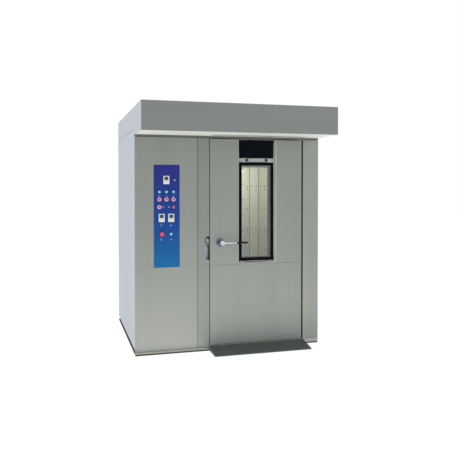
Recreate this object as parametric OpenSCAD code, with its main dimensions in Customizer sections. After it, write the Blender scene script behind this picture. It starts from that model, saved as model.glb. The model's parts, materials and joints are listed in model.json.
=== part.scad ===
// Rotating rack oven: a stainless casing with an extraction hood, a baking chamber
// closed by a pivoted door, a turning rack spindle and a service compartment.
// Millimetres, +Z up. X runs to the right, Y to the back. The origin is on the floor,
// at the middle of the plan. Modules draw in casing coordinates, which start at the
// front left corner of the casing, and placed() moves them to the origin.

/* [Casing] */
// Depth of the service space between the rear insulation and the rear panels' backs
rear_space = 215; // [180:5:300]
// Height of the roof deck, where the side panels end
deck_z = 2205; // [2195:5:2320]
// Height of the crown and of the hood above the floor
top_z = 2420; // [2400:5:2600]
// Height of the plinth under the side panels
plinth_h = 52; // [48:1:53]
// Height of the levelling feet
foot_h = 15; // [12:1:30]
// Thickness of the stainless sheet
sheet_t = 2; // [1.5:0.5:2]
// Depth of the folds round an outer panel
fold_d = 25; // [20:1:30]
// Seam between neighbouring panels
seam = 4; // [3:0.5:5]

/* [Hood] */
// Height of the hood's underside
hood_z = 2150; // [2145:1:2180]
// Reach of the hood in front of the casing
hood_reach = 465; // [300:5:600]
// Length of the hood's cheeks behind the front of the casing
cheek_d = 90; // [60:5:150]
// Depth of the steam intake in the hood's underside
intake_d = 110; // [80:5:160]
// Distance of the intake from the front of the casing
intake_gap = 40; // [30:5:80]

/* [Front] */
// Width of the service door
service_w = 618; // [600:1:640]
// Depth of the folds round the service door
service_fold = 20; // [16:1:24]
// Width of the centre post
post_w = 117; // [100:1:140]
// Width of the right post
right_w = 172; // [160:1:220]
// Height of the joint between the lower and upper sheets
joint_z = 858; // [850:1:900]
// Height of the top edge of the service door
service_top = 2127; // [2120:1:2130]
// Height of the bottom edge of the service door
service_base = 39; // [36:1:50]

/* [Oven door] */
// Width of the door's outer skin
door_w = 981.5; // [940:0.5:1100]
// Height of the door's bottom edge
door_base = 59; // [58:1:70]
// Height of the door's top edge
door_top = 2122; // [2110:1:2124]
// Gap at the handle side
latch_gap = 6.5; // [5:0.5:12]
// Gap at the pivot side
pivot_gap = 16; // [14:1:24]
// Depth of the outer skin
skin_d = 55; // [50:1:60]
// Depth of the inner pan
pan_d = 38; // [34:1:44]
// Inset of the inner pan from the skin's edges
pan_inset = 15; // [12:1:20]
// Depth of the gasket behind the pan
gasket_d = 16; // [12:1:18]
// Width of the gasket
gasket_w = 18; // [14:1:24]
// Distance of the pivot from the door's edge and from its face
pivot_in = 20; // [18:1:22]
// Radius of the pivot pins
pivot_r = 8; // [6:0.5:10]
// Radial clearance of a running pin
run_clear = 0.05; // [0.03:0.01:0.08]

/* [Door window] */
// Width of the window channel
channel_w = 405; // [380:1:430]
// Distance of the channel's middle from the door's left edge
channel_mid = 500.5; // [470:0.5:520]
// Depth of the window channel
channel_d = 64; // [62:1:66]
// Recess of the window frame behind the door's face
window_in = 40; // [36:1:44]
// Width of the window frame
window_w = 372; // [340:1:380]
// Height of the window frame's lower edge
window_base = 888; // [880:1:920]
// Height of the window frame's upper edge
window_top = 1891; // [1850:1:1894]
// Width of the window frame's bars
window_bar = 26; // [20:1:32]
// Thickness of the window frame
window_t = 19; // [16:1:20]
// Thickness of the glass panes
glass_t = 6; // [4:1:8]
// Height of the clamp bar above the window frame
clamp_h = 32; // [26:1:34]
// Gap between the window frame, clamp bar and lamp cover
clamp_gap = 8; // [4:1:10]
// Distance between the clamp knobs
knob_span = 208; // [180:2:240]
// Radius of a clamp knob
knob_r = 13; // [10:1:15]

/* [Door handle] */
// Distance of the handle's shaft from the door's left edge
handle_in = 108; // [104:1:116]
// Height of the handle's shaft
handle_z = 1084; // [1080:1:1090]
// Distance of the lever in front of the door's face
handle_out = 80; // [70:1:100]
// Radius of the handle's rosette
rosette_r = 42; // [34:1:46]
// Radius of the lever's hub
hub_r = 24; // [20:1:26]
// Radius of the lever's rod
rod_r = 7.5; // [6:0.5:9]
// Length of the bare rod from the shaft
rod_l = 150; // [130:5:170]
// Radius of the grip
grip_r = 10.5; // [9:0.5:13]
// Length of the grip
grip_l = 115; // [100:5:130]
// Radius of the latch roller
roller_r = 12; // [10:1:13]
// Length of the latch arm
latch_l = 127; // [124:1:132]
// Clearance between the latch roller and the keeper's nose
keeper_clear = 0.5; // [0.4:0.1:2]

/* [Latch pocket] */
// Width of the pocket in the centre post
pocket_w = 43; // [38:1:50]
// Height of the pocket's lower edge
pocket_base = 915; // [900:5:930]
// Height of the pocket's upper edge
pocket_top = 1149; // [1140:1:1170]
// Depth of the pocket
pocket_d = 62; // [58:1:70]
// Radius of the pocket's corners
pocket_r = 20; // [10:1:24]

/* [Control panel] */
// Distance of the blue control panel from the casing's left side
fascia_x = 182.5; // [150:0.5:200]
// Width of the control panel
fascia_w = 255.5; // [250:0.5:300]
// Height of the control panel's lower edge
fascia_base = 854.5; // [850:0.5:870]
// Height of the control panel's upper edge
fascia_top = 1858; // [1840:1:1900]
// Thickness of the control panel
fascia_t = 3; // [2:0.5:4]
// Radius of a button's bezel
bezel_r = 19; // [16:0.5:20]
// Radius of a button's cap
cap_r = 13; // [11:0.5:14]
// Radius of the stop button's cap
stop_r = 21; // [18:0.5:22]
// Travel of a button
button_travel = 3.5; // [2:0.5:4]
// Gap round a button's cap
cap_gap = 0.4; // [0.3:0.1:0.6]
// Distance between two columns of buttons
button_pitch = 70; // [60:1:76]
// Height of the green buttons
green_z = 1594; // [1590:1:1620]
// Height of the red buttons
red_z = 1520; // [1510:1:1530]
// Height of the lower red buttons
lower_z = 1446; // [1436:1:1450]
// Height of the stop and start buttons
start_z = 1181; // [1160:1:1190]
// Width of a controller's bezel
controller_w = 58; // [48:1:60]
// Height of a controller's bezel
controller_h = 80; // [72:1:84]
// Depth of a controller behind the control panel
controller_d = 70; // [50:5:80]

/* [Baking chamber] */
// Distance of the chamber's side walls from the door opening
chamber_side = 100; // [60:5:110]
// Depth of the baking chamber from the door frame to the slats
chamber_d = 1075; // [1000:5:1300]
// Height of the chamber's ceiling
chamber_top = 2010; // [2000:5:2030]
// Distance of the door opening from the door's edges
opening_lap = 50.75; // [48:0.25:60]
// Height of the door opening's upper edge
opening_top = 1990; // [1960:5:1994]
// Thickness of the insulation
insulation_t = 100; // [80:5:110]
// Pitch of the slats in the back wall
slat_pitch = 115; // [100:5:130]
// Gap between two slats
slat_gap = 3; // [2:0.5:5]
// Depth of the air duct behind the slats
duct_d = 120; // [100:5:130]

/* [Rack drive] */
// Radius of the rack spindle
spindle_r = 20; // [15:1:25]
// Height of the hook under the ceiling
hook_drop = 120; // [100:5:150]
// Radius of the spindle's bearing housing
bearing_r = 55; // [45:1:65]

/* [Circulation fan] */
// Number of impeller blades
blades = 12; // [8:1:16]
// Outer radius of the impeller
fan_r = 200; // [160:5:210]
// Inlet radius of the impeller
fan_eye_r = 95; // [80:5:110]
// Height of the impeller
fan_h = 110; // [80:5:120]
// Thickness of a blade
blade_t = 3; // [2:0.5:4]
// Radius of the fan's shaft
fan_shaft_r = 14; // [12:1:18]

/* [Roof] */
// Radius of the flue spigot
flue_r = 75; // [60:5:90]
// Radius of the steam vent
vent_r = 60; // [50:5:80]
// Radius of the hood's extraction spigot
extract_r = 90; // [70:5:100]
// Height of the spigots above the crown
spigot_rise = 100; // [60:5:150]

/* [Ramp] */
// Reach of the ramp in front of the casing
ramp_reach = 225; // [180:5:300]
// Height of the ramp's upper edge
ramp_h = 50; // [44:1:50]
// Thickness of the ramp's plate
ramp_t = 6; // [4:1:8]
// Distance of the ramp's ends from the door's edges
ramp_over = 5; // [2:1:12]

/* [Hidden] */
$fn = 48;
eps = 1;

// Positions along the front, from the left side
centre_x = service_w + seam;
centre_end = centre_x + post_w;
door_x = centre_end + latch_gap;
door_end = door_x + door_w;
door_mid = door_x + door_w / 2;
right_x = door_end + pivot_gap;
body_w = right_x + right_w;
header_z = service_top + seam;
floor_z = plinth_h + sheet_t;
rail = 50;
rail_in = 12;

// Door layers, from the front
pan_y = skin_d;
gasket_y = pan_y + pan_d;
frame_gap = 1;
frame_y = gasket_y + gasket_d + frame_gap;
pivot_x = door_end - pivot_in;
pivot_y = pivot_in;
pan_x = door_x + pan_inset;
pan_end = door_end - pan_inset;
skin_flange = pan_inset + 8;
gasket_in = 8;

// Window
channel_x = door_x + channel_mid - channel_w / 2;
channel_end = channel_x + channel_w;
channel_base = joint_z + seam;
window_mid = channel_x + channel_w / 2;
window_x = window_mid - window_w / 2;
window_end = window_mid + window_w / 2;
clamp_base = window_top + clamp_gap;
lamp_base = clamp_base + clamp_h + clamp_gap * 0.75;
tilt_z = window_base - 5;
tilt_y = window_in + window_t / 2;
boss_r = 12;
boss_in = 16;
sight_x = window_x + window_bar;
sight_end = window_end - window_bar;
sight_base = window_base + window_bar;
sight_top = window_top - window_bar;

// Handle and latch
handle_x = door_x + handle_in;
shaft_r = 10;
latch_y = 22;
latch_t = 10;
roller_l = 22;
roller_x = handle_x - latch_l;
nose_d = 10;
nose_h = 26;

// Service door
hinge_in = 9;
hinge_pin_r = 4;
// plane behind which fixed pieces clear the service door's turning corner
behind_y = hinge_in + norm([hinge_in, service_fold - hinge_in]) + 0.8;
lock_x = service_w - 22;
lock_z = 1088;
lock_r = 9;
tongue_l = 40;
tongue_w = 18;
tongue_reach = norm([tongue_l, tongue_w / 2]);

// Control panel
fascia_mid = fascia_x + fascia_w / 2;
button_x = fascia_mid - 4;
controller_z = 1710;
lower_controller_z = 1340;
controller_step = 94;
pair_mid = fascia_mid - 4.3;
start_step = 92;
window_cut = 18;
bezel_t = 5;

// Baking chamber
opening_w = door_w - 2 * opening_lap;
chamber_w = opening_w + 2 * chamber_side;
chamber_x = door_mid - chamber_w / 2;
chamber_end = chamber_x + chamber_w;
flange_y = frame_y + 22;
slat_y = flange_y + chamber_d;
slat_d = 8;
duct_y = slat_y + slat_d;
back_y = duct_y + duct_d;
opening_x = door_mid - opening_w / 2;
opening_end = opening_x + opening_w;
wall_t = 3;
spindle_y = flange_y + chamber_d / 2;
duct_t = 45;
partition_x = chamber_x - duct_t - insulation_t;

// Depth over all, and the front plane in the part's own frame
body_d = back_y + insulation_t + rear_space;
rear_fold_y = body_d - fold_d;
front_y = (hood_reach - body_d) / 2;

// Heat exchanger compartment
cell_x = fold_d + 45;
cell_end = partition_x - 12;
cell_mid = (cell_x + cell_end) / 2;
cell_y = 420;
cell_back = back_y - 60;
bulkhead_y = cell_y - 70;
bulkhead_t = 60;
blast_r = 58;
drum_r = 165;
drum_z = 420;
drum_gap = 40;
header_d = 90;
take_off = 60;
tube_rows = 4;
tube_columns = 5;
tube_pitch_x = 82;
tube_pitch_z = 125;
tube_t = 3;
smoke_r = 32;
header_x = cell_mid - tube_columns * tube_pitch_x / 2;
header_end = cell_mid + tube_columns * tube_pitch_x / 2;
tube_low = drum_z + drum_r + 60;
header_top = tube_low + tube_rows * tube_pitch_z + drum_gap;
fan_y = 860;
fan_z = 1930;
fan_shaft_l = 260;
passage_in = 60;
passage_rise = 150;
passage_h = 350;
flue_low = chamber_top - 60;

// Roof
deck_t = 3;
deck_low = deck_z - seam;
deck_top = deck_low + deck_t;
duct_low = deck_top + 20;
duct_high = top_z - 20;
motor_r = 80;
motor_h = 170;
spigot_top = top_z + spigot_rise;
flue_y = back_y - 110;
vent_in = 190;
vent_x = chamber_x + vent_in;
vent_y = back_y - 90;
extract_y = 330;
sleeve_t = 2;
damper_drop = 60;
damper_pin_r = 5;
damper_z = top_z - damper_drop;

// Rack spindle and its hooks
spindle_rise = 130;
disc_t = 12;
disc_r = 70;
hook_in = 30;
hook_reach = 60;
hook_fall = 70;
hook_w = 40;
hook_t = 8;
hook_lip = 30;

BUTTON_NODES = concat(
    [for (i = [1:3]) str("green_button_", i)],
    [for (i = [1:5]) str("red_button_", i)],
    ["stop_button", "start_button"]);

// Helpers

// Everything inside is drawn in casing coordinates
module placed() translate([-body_w / 2, front_y, 0]) children();

// A block between two opposite corners
module span(a, b) translate(a) cube(b - a);

// A round bar from a point, along an axis given as its direction
module bar_x(p, r, l) translate(p) rotate([0, 90, 0]) cylinder(r = r, h = l);
module bar_y(p, r, l) translate(p) rotate([-90, 0, 0]) cylinder(r = r, h = l);
module bar_z(p, r, l) translate(p) cylinder(r = r, h = l);

// A tube along Y
module tube_y(p, r, wall, l) {
    difference() {
        bar_y(p, r, l);
        bar_y(p - [0, eps, 0], r - wall, l + 2 * eps);
    }
}

// A folded sheet tray between two corners, open on the side that open points to
module tray(a, b, open = [0, 1, 0], t = sheet_t) {
    low = [for (i = [0:2]) a[i] + (open[i] < 0 ? -eps : t)];
    high = [for (i = [0:2]) b[i] + (open[i] > 0 ? eps : -t)];
    difference() {
        span(a, b);
        span(low, high);
    }
}

// A frame in the XZ plane: a block with a window through it
module rim_xz(a, b, low, high) {
    difference() {
        span(a, b);
        span([low[0], a[1] - eps, low[1]], [high[0], b[1] + eps, high[1]]);
    }
}

// Casing

// Rails with a closed bay under the heat exchanger and two open ones under the chamber
module base_frame() {
    plate_t = 3;
    low = foot_h;
    high = plinth_h;
    inset = rail_in;
    starts = [inset, partition_x, door_mid - rail / 2, body_w - inset - rail];
    color("dimgray") placed()
        difference() {
            span([inset, behind_y, low], [body_w - inset, body_d - inset, high]);
            for (i = [0:len(starts) - 2])
                span([starts[i] + rail, behind_y + rail, low - eps],
                     [starts[i + 1], body_d - inset - rail, i == 0 ? high - plate_t : high + eps]);
        }
}

module levelling_feet() {
    pad_r = 32;
    pad_h = 6;
    stem_r = 9;
    inset = rail_in + rail / 2;
    color("silver") placed()
        for (x = [inset, partition_x + rail / 2, body_w - inset], y = [behind_y + rail / 2, body_d - inset]) {
            bar_z([x, y, 0], pad_r, pad_h);
            bar_z([x, y, pad_h], stem_r, foot_h - pad_h);
        }
}

// Three trays along one side, from the front fold to the rear panels
module side_set(x0, open) {
    count = 3;
    y0 = behind_y;
    y1 = rear_fold_y - seam;
    w = (y1 - y0 - (count - 1) * seam) / count;
    difference() {
        for (i = [0:count - 1]) {
            y = y0 + i * (w + seam);
            tray([x0, y, plinth_h], [x0 + fold_d, y + w, deck_low], open);
        }
        // notch under the hood's cheek
        span([x0 - eps, 0, hood_z - seam], [x0 + fold_d + eps, cheek_d + seam, deck_z]);
    }
}

module left_side_panels() color("lightsteelblue") placed() side_set(0, [1, 0, 0]);

module right_side_panels() color("lightsteelblue") placed() side_set(body_w - fold_d, [-1, 0, 0]);

module rear_panels() {
    count = 4;
    w = (body_w - (count - 1) * seam) / count;
    color("silver") placed()
        for (i = [0:count - 1]) {
            x = i * (w + seam);
            tray([x, rear_fold_y, plinth_h], [x + w, body_d, deck_low], [0, -1, 0]);
        }
}

// The header over both doors, the strip below the service door and the oven's threshold
module front_trim() {
    sill_top = service_base - seam;
    color("darkgray") placed() {
        span([0, 0, header_z], [body_w, service_fold, hood_z]);
        span([sheet_t + 1, 0, hood_z], [body_w - sheet_t - 1, sheet_t, deck_low]);
        tray([0, 0, foot_h], [centre_end, behind_y, sill_top]);
        tray([centre_end + 1, 0, foot_h], [right_x - 1, behind_y, plinth_h]);
        tray([right_x, 0, foot_h], [body_w, behind_y, plinth_h - 1]);
        span([centre_end + 1, 0, plinth_h], [right_x - 1, frame_y, floor_z]);
    }
}

// The pocket's outline on the post, open towards the door
module pocket_shape(grow) {
    r = pocket_r + grow;
    x0 = centre_end - pocket_w + pocket_r;
    z0 = pocket_base + pocket_r;
    z1 = pocket_top - pocket_r;
    for (z = [z0, z1]) translate([x0, z]) circle(r = r);
    translate([x0 - r, z0]) square([2 * r, z1 - z0]);
    translate([x0, pocket_base - grow]) square([centre_end - x0, pocket_top - pocket_base + 2 * grow]);
}

// A shape drawn as X and Z, given a depth along Y from y0 to y1
module deep(y0, y1) translate([0, y1, 0]) rotate([90, 0, 0]) linear_extrude(y1 - y0) children();

module centre_post() {
    low = service_base;
    latch_sheet = 50;
    butt = 0.4;
    // the tongue's corner crosses the post's side this far below the lock
    slot_fall = sqrt(pow(tongue_reach, 2) - pow(centre_x - lock_x, 2)) + 3;
    slot_rise = tongue_w / 2 + 4;
    color("darkgray") placed()
        difference() {
            union() {
                difference() {
                    span([centre_x, 0, low], [centre_end, frame_y, service_top]);
                    span([centre_x + sheet_t, sheet_t, low - eps],
                         [centre_end - sheet_t, frame_y + eps, service_top + eps]);
                }
                deep(0, pocket_d + sheet_t) pocket_shape(sheet_t);
            }
            deep(-eps, pocket_d) {
                pocket_shape(0);
                translate([centre_end - pocket_r, pocket_base])
                    square([pocket_r + eps, pocket_top - pocket_base]);
            }
            // the sheet with the latch pocket is a piece of its own, between two butt joints
            for (z = [joint_z, pocket_top + latch_sheet])
                span([centre_x - eps, -eps, z], [centre_end + eps, frame_y + eps, z + butt]);
            // room for the base frame, and the slot that the service door's lock turns into
            span([centre_x - eps, behind_y, low - eps], [centre_end + eps, frame_y + eps, plinth_h]);
            span([centre_x - eps, service_fold - 4, lock_z - slot_fall],
                 [centre_x + sheet_t + eps, service_fold + 14, lock_z + slot_rise]);
        }
}

module right_post() {
    color("darkgray") placed() {
        span([right_x, 0, plinth_h], [body_w, sheet_t, service_top]);
        span([right_x, sheet_t, plinth_h], [right_x + sheet_t, frame_y, service_top]);
        span([body_w - sheet_t, sheet_t, plinth_h], [body_w, service_fold, service_top]);
    }
}

// The upper band round the roof
module crown_panels() {
    low = deck_top;
    y0 = cheek_d + seam;
    color("gainsboro") placed() {
        tray([0, y0, low], [fold_d, rear_fold_y - seam, top_z], [1, 0, 0]);
        tray([body_w - fold_d, y0, low], [body_w, rear_fold_y - seam, top_z], [-1, 0, 0]);
        tray([0, rear_fold_y, low], [body_w, body_d, top_z], [0, -1, 0]);
    }
}

// Hood

// Front, cheeks, top and the sheet that closes the hood behind, open to the duct
module hood_shell() {
    color("darkgray") placed()
        difference() {
            span([0, -hood_reach, hood_z], [body_w, cheek_d, top_z]);
            span([sheet_t, -hood_reach + sheet_t, hood_z - eps],
                 [body_w - sheet_t, cheek_d - sheet_t, top_z - sheet_t]);
            // room for the header and the deck between the cheeks
            span([sheet_t, cheek_d - 2 * sheet_t, hood_z - eps], [body_w - sheet_t, cheek_d + eps, deck_top]);
            span([body_w / 2 - extract_r + sheet_t, cheek_d - 2 * sheet_t, duct_low + sheet_t],
                 [body_w / 2 + extract_r - sheet_t, cheek_d + eps, duct_high - sheet_t]);
        }
}

module hood_underside() {
    color("whitesmoke") placed()
        rim_floor([sheet_t, -hood_reach + sheet_t, hood_z], [body_w - sheet_t, -sheet_t, hood_z + sheet_t],
                  [door_x, -intake_gap - intake_d], [door_end, -intake_gap]);
}

// A plate in the XY plane with a window through it
module rim_floor(a, b, low, high) {
    difference() {
        span(a, b);
        span([low[0], low[1], a[2] - eps], [high[0], high[1], b[2] + eps]);
    }
}

// Baffle filters that drop into the intake: two rows of overlapping channels in a frame
module hood_filter() {
    rim = 12;
    count = 30;
    filter_h = 30;
    gap = 1;
    lip = 9;
    x0 = door_x + gap;
    x1 = door_end - gap;
    y0 = -intake_gap - intake_d + gap;
    y1 = -intake_gap - gap;
    z0 = hood_z + 0.5;
    pitch = (x1 - x0 - 2 * rim) / count;
    channel = pitch * 0.62;
    color("silver") placed() {
        rim_floor([x0, y0, z0], [x1, y1, z0 + filter_h], [x0 + rim, y0 + rim], [x1 - rim, y1 - rim]);
        // lip that rests on the hood's underside
        rim_floor([x0 - lip, y0 - lip, hood_z + sheet_t], [x1 + lip, y1 + lip, hood_z + 2 * sheet_t],
                  [x0 + rim, y0 + rim], [x1 - rim, y1 - rim]);
        for (i = [0:count - 1]) {
            x = x0 + rim + (i + 0.5) * pitch;
            tray([x - channel / 2, y0 + rim - 2, z0], [x + channel / 2, y1 - rim + 2, z0 + 10],
                 [0, 0, 1], 1.2);
        }
        for (i = [1:count - 1]) {
            x = x0 + rim + i * pitch;
            tray([x - channel / 2, y0 + rim - 2, z0 + 14], [x + channel / 2, y1 - rim + 2, z0 + 24],
                 [0, 0, -1], 1.2);
        }
    }
}

// Baking chamber

// The left wall's return slots stand in rows of long vertical openings
module chamber_side_walls() {
    columns = 5;
    slot_w = 26;
    slot_rise = 150;
    slot_low = floor_z + slot_rise;
    slot_h = 760;
    bridge = 90;
    y0 = flange_y + wall_t;
    z0 = floor_z;
    step = (chamber_d - 2 * slot_w) / columns;
    color("wheat") placed() {
        difference() {
            span([chamber_x - wall_t, y0, z0], [chamber_x, slat_y - wall_t, chamber_top]);
            for (i = [0:columns - 1], k = [0:1])
                span([chamber_x - wall_t - eps, y0 + slot_w + (i + 0.5) * step - slot_w / 2,
                      slot_low + k * (slot_h + bridge)],
                     [chamber_x + eps, y0 + slot_w + (i + 0.5) * step + slot_w / 2,
                      slot_low + k * (slot_h + bridge) + slot_h]);
        }
        span([chamber_end, y0, z0], [chamber_end + wall_t, back_y, chamber_top]);
        // divides the return duct from the plenum behind the slats
        span([chamber_x - duct_t, slat_y - wall_t, z0], [chamber_x, slat_y, chamber_top]);
    }
}

// Upright slats with a folded edge each side, counted from the right wall
module chamber_back_slats() {
    count = floor(chamber_w / slat_pitch);
    rest = chamber_w - count * slat_pitch;
    fold = 18;
    strip_w = 26;
    strip_x = chamber_end - 3 * slat_pitch + 10;
    z0 = floor_z;
    z1 = chamber_top;
    color("beige") placed() {
        for (i = [0:count - 1]) {
            x1 = chamber_end - 1 - i * slat_pitch;
            x0 = x1 - slat_pitch + slat_gap;
            span([x0, slat_y, z0], [x1, slat_y + 1.5, z1]);
            for (x = [x0, x1 - 1.5])
                span([x, slat_y + 1.5, z0], [x + 1.5, slat_y + fold, z1]);
        }
        span([chamber_x + 1, slat_y, z0], [chamber_x + rest - 1, slat_y + fold, z1]);
        // the nozzle strip in front of the slats
        span([strip_x, slat_y - 6, z0], [strip_x + strip_w, slat_y, z1]);
    }
}

// The chamber's ceiling and the fan deck with its inlet over the heat exchanger
module chamber_ceiling() {
    y0 = flange_y + wall_t;
    fan_deck = fan_z - 8;
    color("wheat") placed() {
        difference() {
            span([chamber_x - duct_t, y0, chamber_top],
                 [chamber_end + wall_t, back_y, chamber_top + wall_t]);
            bar_z([door_mid, spindle_y, chamber_top - eps], spindle_r + 4, wall_t + 2 * eps);
            bar_z([vent_x, vent_y, chamber_top - eps], vent_r - sleeve_t, wall_t + 2 * eps);
        }
        difference() {
            span([cell_x - 5, bulkhead_y + bulkhead_t, fan_deck], [partition_x, back_y, fan_deck + wall_t]);
            bar_z([cell_mid, fan_y, fan_deck - eps], fan_eye_r, wall_t + 2 * eps);
            span([cell_mid - take_off, cell_back - header_d, fan_deck - eps],
                 [cell_mid + take_off, cell_back, fan_deck + wall_t + eps]);
        }
    }
}

module chamber_floor() {
    color("silver") placed()
        span([chamber_x - duct_t, flange_y + wall_t, plinth_h], [chamber_end + wall_t, back_y, floor_z]);
}

// The seat of the door's gasket, the lining of the opening and the chamber's front wall
module door_frame() {
    plate_t = 4;
    low = [opening_x, floor_z];
    high = [opening_end, opening_top];
    color("gainsboro") placed() {
        rim_xz([centre_end - 40, frame_y, plinth_h], [right_x + 40, frame_y + plate_t, service_top],
               low, high);
        rim_xz([opening_x - wall_t, frame_y + plate_t, plinth_h],
               [opening_end + wall_t, flange_y, opening_top + wall_t], low, high);
        rim_xz([chamber_x - wall_t, flange_y, plinth_h],
               [chamber_end + wall_t, flange_y + wall_t, chamber_top + wall_t], low, high);
    }
}

// Slabs of mineral wool round the chamber and the heat exchanger
module insulation() {
    z0 = plinth_h;
    outer = body_w - fold_d;
    cell_wall = cell_x - fold_d - 5;
    color("khaki") placed() {
        // partition, with the return air's passage to the heat exchanger and the supply passage
        // from the fan to the plenum
        difference() {
            span([partition_x, flange_y + wall_t, z0], [chamber_x - duct_t, back_y, chamber_top + wall_t]);
            span([partition_x - eps, cell_y + passage_in, z0 + passage_rise],
                 [chamber_x - duct_t + eps, cell_back - passage_in, z0 + passage_rise + passage_h]);
            span([partition_x - eps, slat_y + 15, fan_z],
                 [chamber_x - duct_t + eps, back_y - 10, chamber_top - 5]);
        }
        // right side, back and roof
        span([chamber_end + wall_t, flange_y + wall_t, z0], [outer, back_y, chamber_top + wall_t]);
        span([fold_d, back_y, z0], [outer, back_y + insulation_t, chamber_top + wall_t]);
        difference() {
            span([partition_x, flange_y + wall_t, chamber_top + wall_t],
                 [outer, back_y + insulation_t, deck_low]);
            bar_z([door_mid, spindle_y, chamber_top], bearing_r, deck_z - chamber_top);
            bar_z([vent_x, vent_y, chamber_top], vent_r, deck_z - chamber_top);
        }
        // left side and front of the heat exchanger
        span([fold_d, bulkhead_y + bulkhead_t, z0], [fold_d + cell_wall, back_y, chamber_top]);
        difference() {
            span([fold_d, bulkhead_y, z0], [partition_x, bulkhead_y + bulkhead_t, chamber_top]);
            bar_y([cell_mid, bulkhead_y - eps, drum_z], blast_r + 4, bulkhead_t + 2 * eps);
        }
    }
}

// Lies on the side panels and the insulation, and carries all that stands on the roof
module roof_deck() {
    inset = 6;
    joint = 1;
    edges = [inset, partition_x, (vent_x + door_mid) / 2, body_w - inset + joint];
    color("silver") placed()
        difference() {
            for (i = [0:2])
                span([edges[i], inset, deck_low], [edges[i + 1] - joint, body_d - inset, deck_top]);
            roof_hole([door_mid, spindle_y], bearing_r);
            roof_hole([cell_mid, fan_y], fan_shaft_r + 6);
            roof_hole([cell_mid, flue_y], flue_r);
            roof_hole([vent_x, vent_y], vent_r);
            roof_hole([body_w / 2, extract_y], extract_r);
        }
}

module roof_hole(at, r) bar_z([at[0], at[1], deck_low - eps], r, deck_t + 2 * eps);

// Heating

// Combustion drum, two header boxes, the bank of smoke tubes and the flue take-off, as one
// outline. Drawn smaller by the plate's thickness it is the gas way inside them.
module exchanger_outline(plate) {
    bore = plate > 0;
    front = cell_y + 30;
    rear = cell_back - header_d;
    baffle_z = tube_low + tube_rows / 2 * tube_pitch_z;
    bar_y([cell_mid, cell_y + plate, drum_z], drum_r - plate, rear - cell_y + eps);
    // rear header below and above its baffle, front header
    span([header_x + plate, rear + plate, drum_z - drum_r + plate],
         [header_end - plate, cell_back - plate, baffle_z]);
    span([header_x + plate, rear + plate, baffle_z + plate],
         [header_end - plate, cell_back - plate, header_top - plate]);
    span([header_x + plate, front + plate, drum_z + drum_r + drum_gap + plate],
         [header_end - plate, front + header_d - plate, header_top - plate]);
    for (i = [0:tube_columns - 1], k = [0:tube_rows - 1])
        bar_y([header_x + (i + 0.5) * tube_pitch_x, front + header_d - plate - eps,
               tube_low + (k + 0.5) * tube_pitch_z],
              bore ? smoke_r - tube_t : smoke_r, rear - front - header_d + 2 * (plate + eps));
    span([cell_mid - take_off + plate, rear + plate, header_top - plate - eps],
         [cell_mid + take_off - plate, cell_back - plate, bore ? flue_low + eps : flue_low]);
}

module heat_exchanger() {
    plate = 5;
    cover_t = 10;
    leg_x = drum_r * 0.66;
    leg_w = 40;
    stay_w = 20;
    stay_in = 10;
    color("indianred") placed() {
        difference() {
            exchanger_outline(0);
            exchanger_outline(plate);
            bar_y([cell_mid, cell_y - eps, drum_z], blast_r + 1, plate + 2 * eps);
        }
        difference() {
            bar_y([cell_mid, cell_y - cover_t, drum_z], drum_r - leg_w, cover_t);
            bar_y([cell_mid, cell_y - cover_t - eps, drum_z], blast_r + 1, cover_t + 2 * eps);
        }
        for (x = [cell_mid - leg_x - leg_w / 2, cell_mid + leg_x - leg_w / 2],
             y = [cell_y + leg_w, cell_back - header_d - 2 * leg_w])
            difference() {
                span([x, y, plinth_h], [x + leg_w, y + leg_w, drum_z - drum_r / 2]);
                bar_y([cell_mid, y - eps, drum_z], drum_r - plate / 2, leg_w + 2 * eps);
            }
        // stays that carry the front header on the drum
        for (x = [header_x + stay_in, header_end - stay_in - stay_w])
            difference() {
                span([x, cell_y + 30, drum_z], [x + stay_w, cell_y + 30 + leg_w, drum_z + drum_r + drum_gap]);
                bar_y([cell_mid, cell_y, drum_z], drum_r - plate / 2, header_d);
            }
        span([header_x + stay_in, cell_y + 30, drum_z + drum_r - 2],
             [header_end - stay_in, cell_y + 30 + leg_w, drum_z + drum_r + drum_gap]);
    }
}

// Blast tube, flange, blower housing with its inlet, motor and gas valve
module burner() {
    flange_r = 92;
    flange_t = 12;
    body_l = 110;
    body_r = 80;
    blower_r = 88;
    blower_l = 55;
    blower_up = 20;
    motor_rad = 42;
    motor_l = 45;
    inlet_r = 46;
    inlet_l = 70;
    valve_w = 90;
    valve_d = 70;
    valve_h = 80;
    pipe_r = 16;
    cap_l = 20;
    cap_rad = 22;
    gap = 6;
    front = bulkhead_y - flange_t - body_l;
    axis_y = bulkhead_y - flange_t - blower_r - gap;
    axis_z = drum_z + blower_up;
    low = drum_z - body_r + 10;
    valve_x = cell_mid - valve_w * 0.6;
    color("tomato") placed() {
        bar_y([cell_mid, bulkhead_y - eps, drum_z], blast_r, cell_y + 8 - bulkhead_y + eps);
        bar_y([cell_mid, bulkhead_y - flange_t, drum_z], flange_r, flange_t);
        span([cell_mid - body_r, front, low],
             [cell_mid + body_r, bulkhead_y - flange_t, axis_z + body_r - 10]);
        bar_x([cell_mid + body_r - eps, axis_y, axis_z], blower_r, blower_l);
        bar_x([cell_mid + body_r - eps + blower_l, axis_y, axis_z], motor_rad, motor_l);
        bar_x([cell_mid - body_r - inlet_l, axis_y, axis_z], inlet_r, inlet_l + eps);
        // gas valve with its regulator and its inlet pipe from the floor
        span([valve_x, front + cap_l, low - valve_h],
             [valve_x + valve_w, front + cap_l + valve_d, low + eps]);
        bar_z([valve_x + valve_w / 2, front + cap_l + valve_d / 2, plinth_h], pipe_r,
              low - valve_h - plinth_h + eps);
        bar_y([valve_x + valve_w / 2, front, low - valve_h / 2], cap_rad, cap_l + eps);
    }
}

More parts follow.
